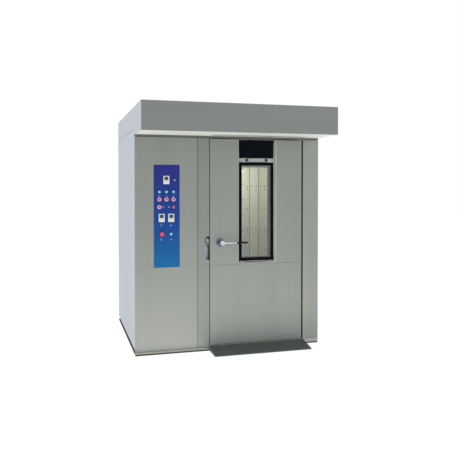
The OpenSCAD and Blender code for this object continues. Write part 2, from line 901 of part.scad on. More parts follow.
// Cast trays between two side plates, each spilling onto the next, under a water pipe
module steam_generator() {
    trays = 8;
    tray_h = 60;
    tray_t = 10;
    pitch = 120;
    plate = 8;
    notch = 60;
    x0 = cell_x;
    x1 = cell_end;
    y0 = back_y + insulation_t + 12;
    y1 = rear_fold_y - 12;
    z0 = 300;
    top = z0 + trays * pitch;
    color("slategray") placed()
        difference() {
            union() {
                for (i = [0:trays - 1])
                    tray([x0 + plate - eps, y0, z0 + i * pitch],
                         [x1 - plate + eps, y1, z0 + i * pitch + tray_h], [0, 0, 1], tray_t);
                for (x = [x0, x1 - plate])
                    span([x, y0, plinth_h], [x + plate, y1, top + 40]);
                bar_x([x0 + plate - eps, (y0 + y1) / 2, top + 20], 9, x1 - x0 - 2 * plate + 2 * eps);
            }
            // spill notches, left and right in turn
            for (i = [0:trays - 1]) {
                x = i % 2 == 0 ? x0 + plate + 30 : x1 - plate - 30 - notch;
                span([x, y0 - eps, z0 + i * pitch + tray_h / 2], [x + notch, y0 + tray_t + eps,
                                                                 z0 + (i + 0.6) * pitch]);
            }
        }
}

// Open-fronted cabinet on the bulkhead with three rails of switchgear
module electrical_box() {
    box_d = 130;
    x0 = fold_d + 30;
    x1 = partition_x - 10;
    y1 = bulkhead_y;
    y0 = y1 - box_d;
    z0 = 1050;
    z1 = 1850;
    rows = 3;
    row_pitch = 220;
    modules = 8;
    block_w = 40;
    block_h = 76;
    rail_h = 35;
    rail_t = 12;
    pitch = (x1 - x0 - 60) / modules;
    color("lightgray") placed() {
        tray([x0, y0, z0], [x1, y1, z1], [0, -1, 0]);
        for (k = [0:rows - 1]) {
            z = z0 + 180 + k * row_pitch;
            span([x0 + 20, y1 - rail_t, z - rail_h / 2], [x1 - 20, y1 - sheet_t, z + rail_h / 2]);
            for (i = [0:modules - 1]) {
                x = x0 + 30 + i * pitch;
                front = y1 - rail_t - 78 + 12 * (i % 3);
                span([x, front, z - block_h / 2], [x + block_w, y1 - rail_t, z + block_h / 2]);
            }
        }
    }
}

// Roof

// Flue, steam vent and the hood's extraction duct, each a spigot with a rolled collar
module roof_ducts() {
    wide = extract_r;
    color("silver") placed() {
        spigot([cell_mid, flue_y], flue_r, flue_low);
        difference() {
            spigot([vent_x, vent_y], vent_r, chamber_top + wall_t);
            bar_x([vent_x - vent_r - 30, vent_y, damper_z], damper_pin_r + run_clear, 2 * vent_r + 60);
        }
        difference() {
            union() {
                spigot([body_w / 2, extract_y], extract_r, deck_top);
                // duct from the hood's back to the extraction spigot
                span([body_w / 2 - wide, cheek_d, duct_low], [body_w / 2 + wide, extract_y, duct_high]);
            }
            span([body_w / 2 - wide + sheet_t, cheek_d - eps, duct_low + sheet_t],
                 [body_w / 2 + wide - sheet_t, extract_y, duct_high - sheet_t]);
            bar_z([body_w / 2, extract_y, deck_top + sheet_t], extract_r - sleeve_t, spigot_top);
        }
    }
}

// An upright tube with a foot flange on the deck and a collar above the crown
module spigot(at, r, low) {
    collar_h = 6;
    collar = 8;
    foot = 36;
    difference() {
        union() {
            bar_z([at[0], at[1], low], r, spigot_top - low);
            bar_z([at[0], at[1], deck_top], r + foot, collar_h);
            bar_z([at[0], at[1], top_z + 2], r + collar, collar_h);
        }
        bar_z([at[0], at[1], low - eps], r - sleeve_t, spigot_top - low + 2 * eps);
    }
}

// Rack drive

// Worm gearbox on a bearing housing, with its finned motor lying to the left
module rack_gearmotor() {
    box = 130;
    box_h = 120;
    flange_t = 12;
    housing_h = 80;
    motor_len = 200;
    motor_rad = 46;
    fins = 9;
    fin_pitch = 16;
    z = deck_top + flange_t + box_h / 2;
    x_motor = door_mid - box / 2 - motor_len;
    color("steelblue") placed() {
        difference() {
            union() {
                bar_z([door_mid, spindle_y, deck_top - housing_h], bearing_r, housing_h + flange_t);
                bar_z([door_mid, spindle_y, deck_top], bearing_r + 35, flange_t);
                span([door_mid - box / 2, spindle_y - box / 2, deck_top + flange_t - eps],
                     [door_mid + box / 2, spindle_y + box / 2, deck_top + flange_t + box_h]);
                bar_z([door_mid, spindle_y, deck_top + flange_t + box_h - eps], bearing_r - 8, 10);
            }
            bar_z([door_mid, spindle_y, deck_top - housing_h - eps], spindle_r + run_clear,
                  housing_h + flange_t + box_h + 20);
        }
        bar_x([x_motor, spindle_y, z], motor_rad, motor_len + eps);
        bar_x([x_motor, spindle_y, z], motor_rad + 8, 34);
        bar_x([door_mid - box / 2 - 14, spindle_y, z], motor_rad + 12, 14 + eps);
        for (i = [0:fins - 1])
            bar_x([x_motor + 42 + i * fin_pitch, spindle_y, z], motor_rad + 8, 5);
    }
}

module rack_spindle() {
    top = deck_top + spindle_rise;
    low = chamber_top - hook_drop;
    color("silver") placed() {
        bar_z([door_mid, spindle_y, low], spindle_r, top - low);
        bar_z([door_mid, spindle_y, low - disc_t], disc_r, disc_t);
        // two hooks that take the rack's top bar
        for (side = [-1, 1])
            translate([door_mid, spindle_y, low - disc_t]) rotate([0, 0, side > 0 ? 0 : 180]) hook_plate();
    }
}

// A bent plate that hangs from the disc and turns up at its end
module hook_plate() {
    translate([hook_in, -hook_w / 2, -hook_fall]) {
        cube([hook_t, hook_w, hook_fall]);
        cube([hook_reach, hook_w, hook_t]);
        translate([hook_reach - hook_t, 0, 0]) cube([hook_t, hook_w, hook_lip]);
    }
}

// Circulation fan

module fan_motor() {
    base = deck_top;
    plate = 260;
    fins = 12;
    cap_h = 34;
    color("steelblue") placed()
        difference() {
            union() {
                span([cell_mid - plate / 2, fan_y - plate / 2, base],
                     [cell_mid + plate / 2, fan_y + plate / 2, base + 12]);
                bar_z([cell_mid, fan_y, base + 12], motor_r - 8, motor_h);
                bar_z([cell_mid, fan_y, base + 11 + motor_h - cap_h], motor_r + 4, cap_h);
                bar_z([cell_mid, fan_y, base + 11], motor_r, 20);
                for (i = [0:fins - 1])
                    translate([cell_mid, fan_y, base + 11]) rotate([0, 0, i * 360 / fins])
                        translate([0, -2, 0]) cube([motor_r, 4, motor_h - cap_h]);
                span([cell_mid + motor_r - 12, fan_y - 30, base + 50],
                     [cell_mid + motor_r + 34, fan_y + 30, base + 110]);
            }
            bar_z([cell_mid, fan_y, base - eps], fan_shaft_r + run_clear, 100);
        }
}

// One backward-curved blade: a band between two arcs from the eye to the rim
module blade_shape() {
    steps = 8;
    sweep = 38;
    r0 = fan_eye_r + 8;
    function along(t, side) =
        let (r = r0 + (fan_r - 2 - r0) * t, a = -sweep * t * t - 8 * t + side * blade_t / r * 28.6)
        [r * cos(a), r * sin(a)];
    polygon(concat([for (i = [0:steps]) along(i / steps, 1)],
                   [for (i = [0:steps]) along(1 - i / steps, -1)]));
}

module fan_impeller() {
    plate_t = 4;
    z0 = fan_z;
    hub_h = 60;
    color("silver") placed() translate([cell_mid, fan_y, 0]) {
        bar_z([0, 0, z0 + fan_h - plate_t], fan_r, plate_t);
        difference() {
            bar_z([0, 0, z0], fan_r, plate_t);
            bar_z([0, 0, z0 - eps], fan_eye_r, plate_t + 2 * eps);
        }
        for (i = [0:blades - 1])
            rotate([0, 0, i * 360 / blades]) translate([0, 0, z0 + plate_t - 0.5])
                linear_extrude(fan_h - 2 * plate_t + 1) blade_shape();
        bar_z([0, 0, z0 + fan_h - hub_h], 38, hub_h - plate_t + 1);
        bar_z([0, 0, z0 + fan_h - plate_t], fan_shaft_r, fan_shaft_l);
    }
}

module steam_damper() {
    r = vent_r - sleeve_t - 1.5;
    handle_l = 50;
    color("silver") placed() translate([vent_x, vent_y, damper_z]) {
        bar_x([-vent_r - 14, 0, 0], damper_pin_r, 2 * vent_r + 28);
        bar_y([0, -1.5, 0], r, 3);
        span([-vent_r - 14, -5, -4], [-vent_r - 9, handle_l, 4]);
    }
}

// Door

// Lower sheet and the two upper sheets beside the window channel
module door_skins() {
    play = 0.5;
    flange = skin_flange;
    hole = pivot_r + 4;
    slot_low = handle_z - latch_l * 0.8;
    slot_top = handle_z + roller_r + 16;
    color("darkgray") placed() {
        difference() {
            tray([door_x, 0, door_base], [door_end, skin_d, joint_z - 1]);
            bar_z([pivot_x, pivot_y, door_base - eps], hole, sheet_t + 2 * eps);
        }
        difference() {
            tray([door_x, 0, joint_z + 1], [channel_x - play, skin_d, door_top]);
            // slot in the edge for the latch arm, and the handle's shaft hole
            span([door_x - eps, latch_y - 4, slot_low],
                 [door_x + sheet_t + eps, latch_y + roller_l + 6, slot_top]);
            bar_y([handle_x, -eps, handle_z], shaft_r + 2, sheet_t + 2 * eps);
        }
        difference() {
            tray([channel_end + play, 0, joint_z + 1], [door_end, skin_d, door_top]);
            bar_z([pivot_x, pivot_y, door_top - sheet_t - eps], hole, sheet_t + 2 * eps);
        }
        // strip that closes the door under the window channel
        span([channel_x - play, 0, joint_z + 1], [channel_end + play, skin_d, channel_base]);
        // return flange that the inner pan is fixed to
        difference() {
            rim_xz([door_x, skin_d - sheet_t, door_base], [door_end, skin_d, door_top],
                   [door_x + flange, door_base + flange], [door_end - flange, door_top - flange]);
            span([channel_x, skin_d - sheet_t - eps, channel_base],
                 [channel_end, skin_d + eps, door_top + eps]);
        }
    }
}

// Pivot block that turns on a fixed pin
module pivot_block(z0, z1) {
    half = pivot_in - sheet_t - 2;
    difference() {
        span([pivot_x - half - 6, sheet_t, z0], [pivot_x + half, skin_d - sheet_t, z1]);
        bar_z([pivot_x, pivot_y, z0 - eps], pivot_r + run_clear, z1 - z0 + 2 * eps);
    }
}

module door_inner_pan() {
    block_h = 60;
    low = door_base + pan_inset;
    high = door_top - pan_inset;
    rim = 16;
    color("lightgray") placed() {
        difference() {
            tray([pan_x, pan_y, low], [pan_end, gasket_y, high], [0, -1, 0]);
            span([sight_x, pan_y, sight_base], [sight_end, gasket_y + eps, sight_top]);
            // room for the window channel
            span([channel_x, pan_y - eps, channel_base], [channel_end, channel_d, door_top]);
        }
        // lining of the sight opening, behind the inner glass
        rim_xz([sight_x - rim, channel_d + glass_t, sight_base - rim],
               [sight_end + rim, gasket_y - sheet_t, sight_top + rim],
               [sight_x, sight_base], [sight_end, sight_top]);
        pivot_block(door_base + sheet_t, door_base + sheet_t + block_h);
        pivot_block(door_top - sheet_t - block_h, door_top - sheet_t);
    }
}

// Two slabs beside the window channel and one below it
module door_insulation() {
    gap = 1;
    box_x = handle_x + 45;
    box_low = handle_z - latch_l - 33;
    box_high = handle_z + 60;
    x0 = door_x + skin_flange + gap;
    x1 = door_end - skin_flange - gap;
    y0 = sheet_t + gap;
    y1 = gasket_y - sheet_t - gap;
    z0 = door_base + sheet_t + 64;
    z1 = door_top - sheet_t - 64;
    color("khaki") placed() {
        span([x0, y0, z0], [x1, y1, joint_z - 3 * gap]);
        difference() {
            span([x0, y0, channel_base + 2], [channel_x - 4, y1, z1]);
            span([x0 - eps, y0 - eps, box_low], [box_x, skin_d, box_high]);
        }
        span([channel_end + 4, y0, channel_base + 2], [x1, y1, z1]);
    }
}

module door_gasket() {
    x0 = pan_x + gasket_in;
    x1 = pan_end - gasket_in - 4;
    z0 = door_base + pan_inset + 2;
    z1 = opening_top + 32;
    lip = 5;
    color("black") placed() {
        rim_xz([x0, gasket_y, z0], [x1, gasket_y + lip, z1],
               [x0 + gasket_w, z0 + gasket_w - 6], [x1 - gasket_w, z1 - gasket_w]);
        rim_xz([x0 + 3, gasket_y + lip - 0.5, z0 + 2], [x1 - 3, gasket_y + gasket_d, z1 - 3],
               [x0 + gasket_w - 3, z0 + gasket_w - 8], [x1 - gasket_w + 3, z1 - gasket_w + 3]);
    }
}

module door_inner_glass() {
    rim = 15;
    color("lightcyan", 0.4) placed()
        span([sight_x - rim, channel_d, sight_base - rim],
             [sight_end + rim, channel_d + glass_t, sight_top + rim]);
}

// Channel from the joint to the door's top edge, with the sight opening in its back
module window_channel() {
    rim = 8;
    color("gainsboro") placed()
        difference() {
            tray([channel_x, 0, channel_base], [channel_end, channel_d, door_top], [0, -1, 0]);
            span([sight_x, channel_d - sheet_t - eps, sight_base], [sight_end, channel_d + eps, sight_top]);
        }
    // hinge brackets of the tilting window
    color("gainsboro") placed()
        for (x = [channel_x + sheet_t, channel_end - sheet_t - rim])
            difference() {
                span([x, tilt_y - boss_r, tilt_z - boss_r], [x + rim, channel_d - sheet_t, tilt_z + boss_r]);
                bar_x([x - eps, tilt_y, tilt_z], 4 + run_clear, rim + 2 * eps);
            }
}

// Dark glass over the door lamp, on two spacers, with the lamp tube behind it
module lamp_cover() {
    top = door_top - 4;
    cover_t = 5;
    spacer = 14;
    tube_r = 7;
    y0 = window_in;
    y1 = channel_d - sheet_t;
    color("black") placed() {
        span([window_x, y0, lamp_base], [window_end, y0 + cover_t, top]);
        for (x = [window_x + 10, window_end - 10 - spacer])
            span([x, y0 + cover_t, lamp_base + 20], [x + spacer, y1, top - 20]);
        bar_x([window_x + 10 + spacer / 2, (y0 + cover_t + y1) / 2, (lamp_base + top) / 2],
              tube_r, window_w - 20 - spacer);
    }
}

// Handle

module handle_rosette() {
    plate_t = 6;
    collar_r = 19;
    collar_l = handle_out - 26;
    color("silver") placed()
        difference() {
            union() {
                bar_y([handle_x, -plate_t, handle_z], rosette_r, plate_t);
                bar_y([handle_x, -collar_l, handle_z], collar_r, collar_l - plate_t + eps);
            }
            bar_y([handle_x, -collar_l - eps, handle_z], shaft_r + run_clear, collar_l + 2 * eps);
        }
}

// Lever with its hub, the shaft through the door, the latch arm and its roller
module handle_lever() {
    hub_l = 30;
    arm_w = 22;
    y_hub = -handle_out - hub_l / 2 + 2;
    color("silver") placed() {
        translate([handle_x, y_hub, handle_z]) rotate([-90, 0, 0]) rotate_extrude() {
            square([hub_r, hub_l - 6]);
            square([hub_r - 6, hub_l]);
            translate([hub_r - 6, hub_l - 6]) circle(r = 6);
        }
        bar_x([handle_x + hub_r - 4, -handle_out, handle_z], rod_r, rod_l - hub_r + 4);
        bar_y([handle_x, y_hub + hub_l - eps, handle_z], shaft_r,
              latch_y + latch_t - y_hub - hub_l + eps);
        deep(latch_y, latch_y + latch_t) {
            translate([roller_x, handle_z - arm_w / 2]) square([latch_l, arm_w]);
            translate([handle_x, handle_z]) circle(r = 18);
        }
        bar_y([roller_x, latch_y, handle_z], roller_r, roller_l);
    }
}

module handle_grip() {
    end_r = 4;
    x0 = handle_x + rod_l;
    color("black") placed() translate([x0, -handle_out, handle_z]) rotate([0, 90, 0]) rotate_extrude() {
        translate([0, end_r]) square([grip_r, grip_l - 2 * end_r]);
        square([grip_r - end_r, grip_l]);
        for (z = [end_r, grip_l - end_r])
            translate([grip_r - end_r, z]) circle(r = end_r);
    }
}

// Tilting window

module window_frame() {
    rebate = 6;
    y0 = window_in;
    y1 = window_in + window_t;
    pin_l = (channel_w - window_w) / 2 - sheet_t;
    glass_y = y0 + 7;
    color("black") placed()
        difference() {
            union() {
                rim_xz([window_x, y0, window_base], [window_end, y1, window_top],
                       [sight_x, sight_base], [sight_end, sight_top]);
                for (x = [window_x - pin_l + 0.5, window_end - 1])
                    bar_x([x, tilt_y, tilt_z], 4, pin_l + 0.5);
                for (x = [window_x, window_end - boss_in])
                    bar_x([x, tilt_y, tilt_z], boss_r - 3, boss_in);
            }
            // groove that holds the pane
            span([sight_x - rebate, glass_y, sight_base - rebate],
                 [sight_end + rebate, glass_y + glass_t, sight_top + rebate]);
        }
}

module window_glass() {
    rebate = 6;
    play = 0.3;
    y0 = window_in + 7 + play / 2;
    color("lightblue", 0.4) placed()
        span([sight_x - rebate + play, y0, sight_base - rebate + play],
             [sight_end + rebate - play, y0 + glass_t - play, sight_top + rebate - play]);
}

knob_hole = 6;

module clamp_bar() {
    bar_t = 4;
    color("silver") placed()
        difference() {
            union() {
                span([window_x, window_in - 2, clamp_base], [window_end, window_in - 2 + bar_t,
                                                            clamp_base + clamp_h]);
                // tongues down to the window frame
                for (x = [window_x + 30, window_end - 60])
                    span([x, window_in + 2, window_top], [x + 30, window_in + 6, clamp_base + clamp_h]);
            }
            for (x = [window_mid - knob_span / 2, window_mid + knob_span / 2])
                bar_y([x, window_in - 4, clamp_base + clamp_h / 2], knob_hole + run_clear, 14);
        }
}

// A star-shaped knob on its stud
module clamp_knob(x) {
    lobes = 6;
    lobe_r = 4;
    knob_l = 16;
    y0 = window_in - 4 - knob_l;
    color("black") placed() {
        translate([x, 0, clamp_base + clamp_h / 2]) deep(y0, y0 + knob_l) {
            circle(r = knob_r - 2);
            for (i = [0:lobes - 1])
                rotate(i * 360 / lobes) translate([knob_r - lobe_r, 0]) circle(r = lobe_r, $fn = 24);
        }
        bar_y([x, y0 + knob_l - eps, clamp_base + clamp_h / 2], knob_hole, 12);
    }
}

module clamp_knob_left() clamp_knob(window_mid - knob_span / 2);

module clamp_knob_right() clamp_knob(window_mid + knob_span / 2);

// Service door

module service_panel() {
    block = 30;
    half = hinge_in - 3;
    hole = [[fascia_x + window_cut, 0, fascia_base + window_cut * 3],
            [fascia_x + fascia_w - window_cut, 0, fascia_top - window_cut]];
    color("darkgray") placed() {
        difference() {
            tray([0, 0, service_base], [service_w, service_fold, joint_z - 1]);
            bar_z([hinge_in, hinge_in, service_base - eps], hinge_pin_r + run_clear, sheet_t + 2 * eps);
        }
        difference() {
            tray([0, 0, joint_z + 1], [service_w, service_fold, service_top]);
            bar_z([hinge_in, hinge_in, service_top - sheet_t - eps], hinge_pin_r + run_clear,
                  sheet_t + 2 * eps);
            span(hole[0] - [0, eps, 0], hole[1] + [0, sheet_t + eps, 0]);
            bar_y([lock_x, -eps, lock_z], lock_r + run_clear, sheet_t + 2 * eps);
        }
        // stiffener behind the joint
        span([sheet_t + 1, sheet_t, joint_z - 20], [service_w - sheet_t - 1, service_fold - 2, joint_z + 20]);
        // hinge blocks
        for (z = [service_base + sheet_t, service_top - sheet_t - block])
            difference() {
                span([hinge_in - half, hinge_in - half, z], [hinge_in + half, service_fold, z + block]);
                bar_z([hinge_in, hinge_in, z - eps], hinge_pin_r + run_clear, block + 2 * eps);
            }
    }
}

// Places of the buttons: name, X and Z
function green_at(i) = [button_x + (i - 2) * button_pitch, green_z];
function red_at(i) = i <= 3
    ? [button_x + (i - 2) * button_pitch, red_z]
    : [button_x + (i == 4 ? -1 : 1) * button_pitch, lower_z];
stop_at = [pair_mid - start_step / 2, start_z];
start_at = [pair_mid + start_step / 2, start_z];
button_places = concat([for (i = [1:3]) green_at(i)], [for (i = [1:5]) red_at(i)], [stop_at, start_at]);
controller_places = [[fascia_mid - 5, controller_z],
                     [pair_mid - controller_step / 2, lower_controller_z],
                     [pair_mid + controller_step / 2, lower_controller_z]];

// The blue plate with the buttons' bezels
module control_fascia() {
    socket_l = 22;
    box_w = controller_w - 6;
    box_h = controller_h - 6;
    color("royalblue") placed() {
        difference() {
            span([fascia_x, -fascia_t, fascia_base], [fascia_x + fascia_w, 0, fascia_top]);
            for (p = button_places) bar_y([p[0], -fascia_t - eps, p[1]], bezel_r - 2, fascia_t + 2 * eps);
            for (p = controller_places)
                span([p[0] - box_w / 2 - 1, -fascia_t - eps, p[1] - box_h / 2 - 1],
                     [p[0] + box_w / 2 + 1, eps, p[1] + box_h / 2 + 1]);
        }
        for (p = button_places) {
            hole_r = p == stop_at ? cap_r - 3 : cap_r;
            tube_y([p[0], -fascia_t - bezel_t, p[1]], bezel_r, bezel_r - hole_r - cap_gap, bezel_t);
            tube_y([p[0], -fascia_t, p[1]], bezel_r - 2.2, bezel_r - 2.2 - hole_r - cap_gap, socket_l);
        }
    }
}

// Three controllers: a bezel with a sunk display, on a box behind the panel
module temperature_controllers() {
    front_t = 7;
    sunk = 1.5;
    box_w = controller_w - 6;
    box_h = controller_h - 6;
    keys = 4;
    color("white") placed()
        for (p = controller_places)
            translate([p[0], -fascia_t, p[1]]) {
                difference() {
                    span([-controller_w / 2, -front_t, -controller_h / 2],
                         [controller_w / 2, 0, controller_h / 2]);
                    span([-controller_w * 0.3, -front_t - eps, 0],
                         [controller_w * 0.3, sunk - front_t, controller_h * 0.37]);
                }
                span([-box_w / 2, -eps, -box_h / 2], [box_w / 2, controller_d, box_h / 2]);
                for (i = [0:keys - 1])
                    span([(i - 1.5) * 11 - 4, -front_t - 1, -30], [(i - 1.5) * 11 + 4, -front_t, -22]);
            }
}

module cam_lock() {
    head_t = 3;
    y1 = service_fold + 2;
    color("silver") placed() {
        bar_y([lock_x, -head_t, lock_z], lock_r + 1.5, head_t - 0.2);
        bar_y([lock_x, -head_t, lock_z], lock_r, y1 + head_t);
        span([lock_x - tongue_w / 2, y1 - eps, lock_z - tongue_l],
             [lock_x + tongue_w / 2, y1 + 4, lock_z + 9]);
    }
}

// A push button: a rounded cap on its stem, at rest proud of the bezel. A cap that is wider
// than the bezel's hole ends in front of the bezel by more than its travel.
module button(at, r, proud) {
    mushroom = r > cap_r;
    edge = 1.5;
    cap_l = mushroom ? proud - button_travel - 1 : 4.5;
    stem_end = 24;
    y0 = -fascia_t - bezel_t - proud;
    translate([at[0], y0, at[1]]) rotate([-90, 0, 0]) rotate_extrude() {
        translate([0, edge]) square([r, cap_l - edge]);
        square([r - edge, cap_l]);
        translate([r - edge, edge]) circle(r = edge, $fn = 24);
    }
    bar_y([at[0], y0 + cap_l - eps, at[1]], mushroom ? cap_r - 3 : cap_r, proud + stem_end - cap_l + eps);
}

module green_button(i) color("mediumturquoise") placed() button(green_at(i), cap_r, 4);
module red_button(i) color("crimson") placed() button(red_at(i), cap_r, 4);
module stop_button() color("red") placed() button(stop_at, stop_r, 14);
module start_button() color("mediumturquoise") placed() button(start_at, cap_r, 4);

// Fittings

// The oven door's pivots, the service door's pins and the latch keeper in the pocket
module hinge_hardware() {
    thrust = 2.5;
    pin_l = 45;
    plate_t = 5;
    nose_x = centre_end - pocket_w + 8;
    nose_y = latch_y - 2;
    nose_z = handle_z + roller_r + keeper_clear;
    color("silver") placed() {
        // bottom pivot on the threshold
        span([pivot_x - 30, 3, floor_z], [pivot_x + 30, 2 * pivot_y, door_base - thrust - 1]);
        bar_z([pivot_x, pivot_y, door_base - thrust - 2], pivot_r + 6, thrust + 1);
        bar_z([pivot_x, pivot_y, door_base - 2], pivot_r, pin_l);
        // top pivot under the header
        span([pivot_x - 30, 3, header_z - plate_t], [pivot_x + 30, 2 * pivot_y, header_z]);
        bar_z([pivot_x, pivot_y, header_z - plate_t - pin_l], pivot_r, pin_l + eps);
        // service door pins
        bar_z([hinge_in, hinge_in, service_base - seam], hinge_pin_r, seam + sheet_t + 24);
        bar_z([hinge_in, hinge_in, service_top - sheet_t - 24], hinge_pin_r, seam + sheet_t + 24);
        // keeper: a plate on the pocket's back, an arm and a nose in front of the roller
        span([nose_x, pocket_d - 4, nose_z - 60], [centre_end - 4, pocket_d, nose_z + nose_h]);
        span([nose_x, nose_y - nose_d, nose_z + nose_h - 8], [centre_end - 4, pocket_d, nose_z + nose_h]);
        span([nose_x, nose_y - nose_d, nose_z], [centre_end - 4, nose_y, nose_z + nose_h]);
    }
}

// A sloping plate on ribs, folded down at its front edge
module ramp() {
    ribs = 4;
    x0 = door_x - ramp_over;
    x1 = door_end + ramp_over + pivot_gap;
    lip_h = 10;
    step = (x1 - x0 - ramp_t) / (ribs - 1);
    color("dimgray") placed() {
        side_profile(x0, x1) polygon([[0, ramp_h], [-ramp_reach, lip_h], [-ramp_reach, 0],
                                      [-ramp_reach + ramp_t, 0], [-ramp_reach + ramp_t, lip_h - ramp_t / 2],
                                      [-0.5, ramp_h - ramp_t]]);
        for (i = [0:ribs - 1])
            side_profile(x0 + i * step, x0 + i * step + ramp_t)
                polygon([[-1, 0], [-1, ramp_h - ramp_t / 2], [-ramp_reach + 2, lip_h - ramp_t / 2],
                         [-ramp_reach + 2, 0]]);
    }
}

// A shape drawn as Y and Z, given a length along X from x0 to x1
module side_profile(x0, x1) translate([x0, 0, 0]) rotate([90, 0, 90]) linear_extrude(x1 - x0) children();

base_frame();
levelling_feet();
left_side_panels();
right_side_panels();
rear_panels();
front_trim();
centre_post();
right_post();
crown_panels();
hood_shell();
hood_underside();
hood_filter();
chamber_side_walls();
chamber_back_slats();
chamber_ceiling();
chamber_floor();
door_frame();
insulation();
roof_deck();
heat_exchanger();
burner();
steam_generator();
electrical_box();
roof_ducts();
rack_gearmotor();
fan_motor();
ramp();
hinge_hardware();
fan_impeller();
rack_spindle();
steam_damper();
door_skins();
door_inner_pan();
door_insulation();
door_gasket();
door_inner_glass();
window_channel();
lamp_cover();
handle_rosette();
handle_lever();
handle_grip();
window_frame();
window_glass();
clamp_bar();
clamp_knob_left();
clamp_knob_right();
service_panel();
control_fascia();
temperature_controllers();
cam_lock();
for (i = [1:3]) green_button(i);
for (i = [1:5]) red_button(i);
stop_button();
start_button();
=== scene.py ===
# %% [markdown]
# # A rotating rack oven
# A bakery oven is a stainless casing round a hot chamber. A rack of trays is wheeled in over
# a ramp, hangs from a turning hook, and is watched through a tall window in the door. This
# lesson dresses a imported CAD model of such an oven: it keeps every size and joint of that
# model, and gives its sheets soft edges, real finishes and the small pieces that CAD leaves
# out. It starts by loading the model.

# %% Load the imported model
import json
import math

import bpy
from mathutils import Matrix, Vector


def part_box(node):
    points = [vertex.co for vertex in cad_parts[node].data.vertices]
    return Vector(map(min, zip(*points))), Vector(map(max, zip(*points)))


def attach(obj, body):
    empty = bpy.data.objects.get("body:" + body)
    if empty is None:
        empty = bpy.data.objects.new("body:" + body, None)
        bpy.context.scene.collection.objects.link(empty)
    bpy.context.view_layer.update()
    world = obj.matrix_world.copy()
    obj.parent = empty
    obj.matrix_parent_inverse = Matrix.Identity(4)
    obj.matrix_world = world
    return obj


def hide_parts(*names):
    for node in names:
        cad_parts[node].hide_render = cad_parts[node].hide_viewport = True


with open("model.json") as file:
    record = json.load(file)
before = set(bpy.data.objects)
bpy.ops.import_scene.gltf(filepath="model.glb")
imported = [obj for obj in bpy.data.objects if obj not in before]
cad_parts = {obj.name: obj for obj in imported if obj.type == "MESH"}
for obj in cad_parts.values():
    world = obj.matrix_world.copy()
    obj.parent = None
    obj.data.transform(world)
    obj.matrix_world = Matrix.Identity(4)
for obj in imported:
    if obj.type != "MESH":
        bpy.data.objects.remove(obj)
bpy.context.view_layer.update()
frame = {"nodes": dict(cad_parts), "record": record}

nodes = frame["nodes"]
body_of_node = {node: body for body, members in frame["record"]["behaviour"]["bodies"].items()
                for node in members}

# %% [markdown]
# The CAD works in millimetres from the casing's front left corner on the floor, which is
# the way a drawing of the oven would be read. One small function turns such a place into
# the model's own frame, in metres, so that every number below can be read on the oven.

# %% Places on the casing
casing_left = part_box("front_trim")[0].x
casing_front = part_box("front_trim")[0].y
casing_corner = Vector((casing_left, casing_front, 0))
MM = 0.001


def at(x, y, z):
    """A place in millimetres from the casing's front left corner, as a point of the model."""
    return Vector((casing_left + x * MM, casing_front + y * MM, z * MM))


def node_mm(node):
    """The lowest and highest corner of a CAD node in casing millimetres."""
    low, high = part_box(node)
    return (low - casing_corner) / MM, (high - casing_corner) / MM


print("casing corner at", casing_left, casing_front)

# %% [markdown]
# ## Camera
# The photograph was taken standing in front of the oven's left half, at eye level, with the
# camera held almost level: it looks down by one degree and to the right by sixteen. A 47 mm
# lens on a 36 mm wide sensor gives its perspective, and a small shift downwards keeps the
# uprights parallel, as the photographer did by cropping.

# %% Camera
EYE = (-1.661, -6.390, 1.669)
LENS_MM, SENSOR_MM, LENS_SHIFT = 47.09, 36, -0.0731
LOOK_DOWN_DEG, LOOK_RIGHT_DEG = 1.082, 15.853
camera_data = bpy.data.cameras.new("camera")
camera_data.sensor_width = SENSOR_MM
camera_data.lens = LENS_MM
camera_data.shift_y = LENS_SHIFT
camera_data.clip_end = 60
camera = bpy.data.objects.new("camera", camera_data)
camera.location = EYE
camera.rotation_euler = (math.radians(90 - LOOK_DOWN_DEG), 0, math.radians(-LOOK_RIGHT_DEG))
bpy.context.scene.collection.objects.link(camera)
bpy.context.scene.camera = camera
bpy.context.scene.view_settings.view_transform = "Standard"

# %% [markdown]
# ## Colours and nodes
# Colours are written as on a colour card, in sRGB. Shaders count in linear light, so one
# function turns a card's code into it. A second one adds a node with its settings and
# links: every material below is built with that, so a finish reads as a short list.

# %% Colour and node helpers


def hex_colour(code):
    """An sRGB code such as #8c908d as a linear colour."""
    parts = [int(code[i:i + 2], 16) / 255 for i in (1, 3, 5)]
    linear = [p / 12.92 if p <= 0.04045 else ((p + 0.055) / 1.055) ** 2.4 for p in parts]
    return (*linear, 1.0)


def add_node(tree, kind, settings=None, links=None):
    """Adds a node; settings are its properties or unlinked sockets, links join its sockets."""
    node = tree.nodes.new("ShaderNode" + kind)
    for name, value in (settings or {}).items():
        if isinstance(name, str) and hasattr(node, name) and name not in node.inputs:
            setattr(node, name, value)
        else:
            node.inputs[name].default_value = value
    for name, socket in (links or {}).items():
        tree.links.new(socket, node.inputs[name])
    return node


def new_finish(name, **settings):
    """A material with a plain Principled shader; returns it, its tree and the shader."""
    material = bpy.data.materials.new(name)
    material.use_nodes = True
    tree = material.node_tree
    shader = tree.nodes["Principled BSDF"]
    for socket, value in settings.items():
        shader.inputs[socket.replace("_", " ")].default_value = value
    return material, tree, shader


def pattern(tree, size_mm, detail=2.0, roughness=0.5):
    """Noise whose grain has a real size along X, Y and Z, in millimetres."""
    place = add_node(tree, "TexCoord")
    scaled = add_node(tree, "Mapping", {"Scale": [1 / (s * MM) for s in size_mm]},
                      {"Vector": place.outputs["Object"]})
    return add_node(tree, "TexNoise", {"Scale": 1.0, "Detail": detail, "Roughness": roughness},
                    {"Vector": scaled.outputs["Vector"]})


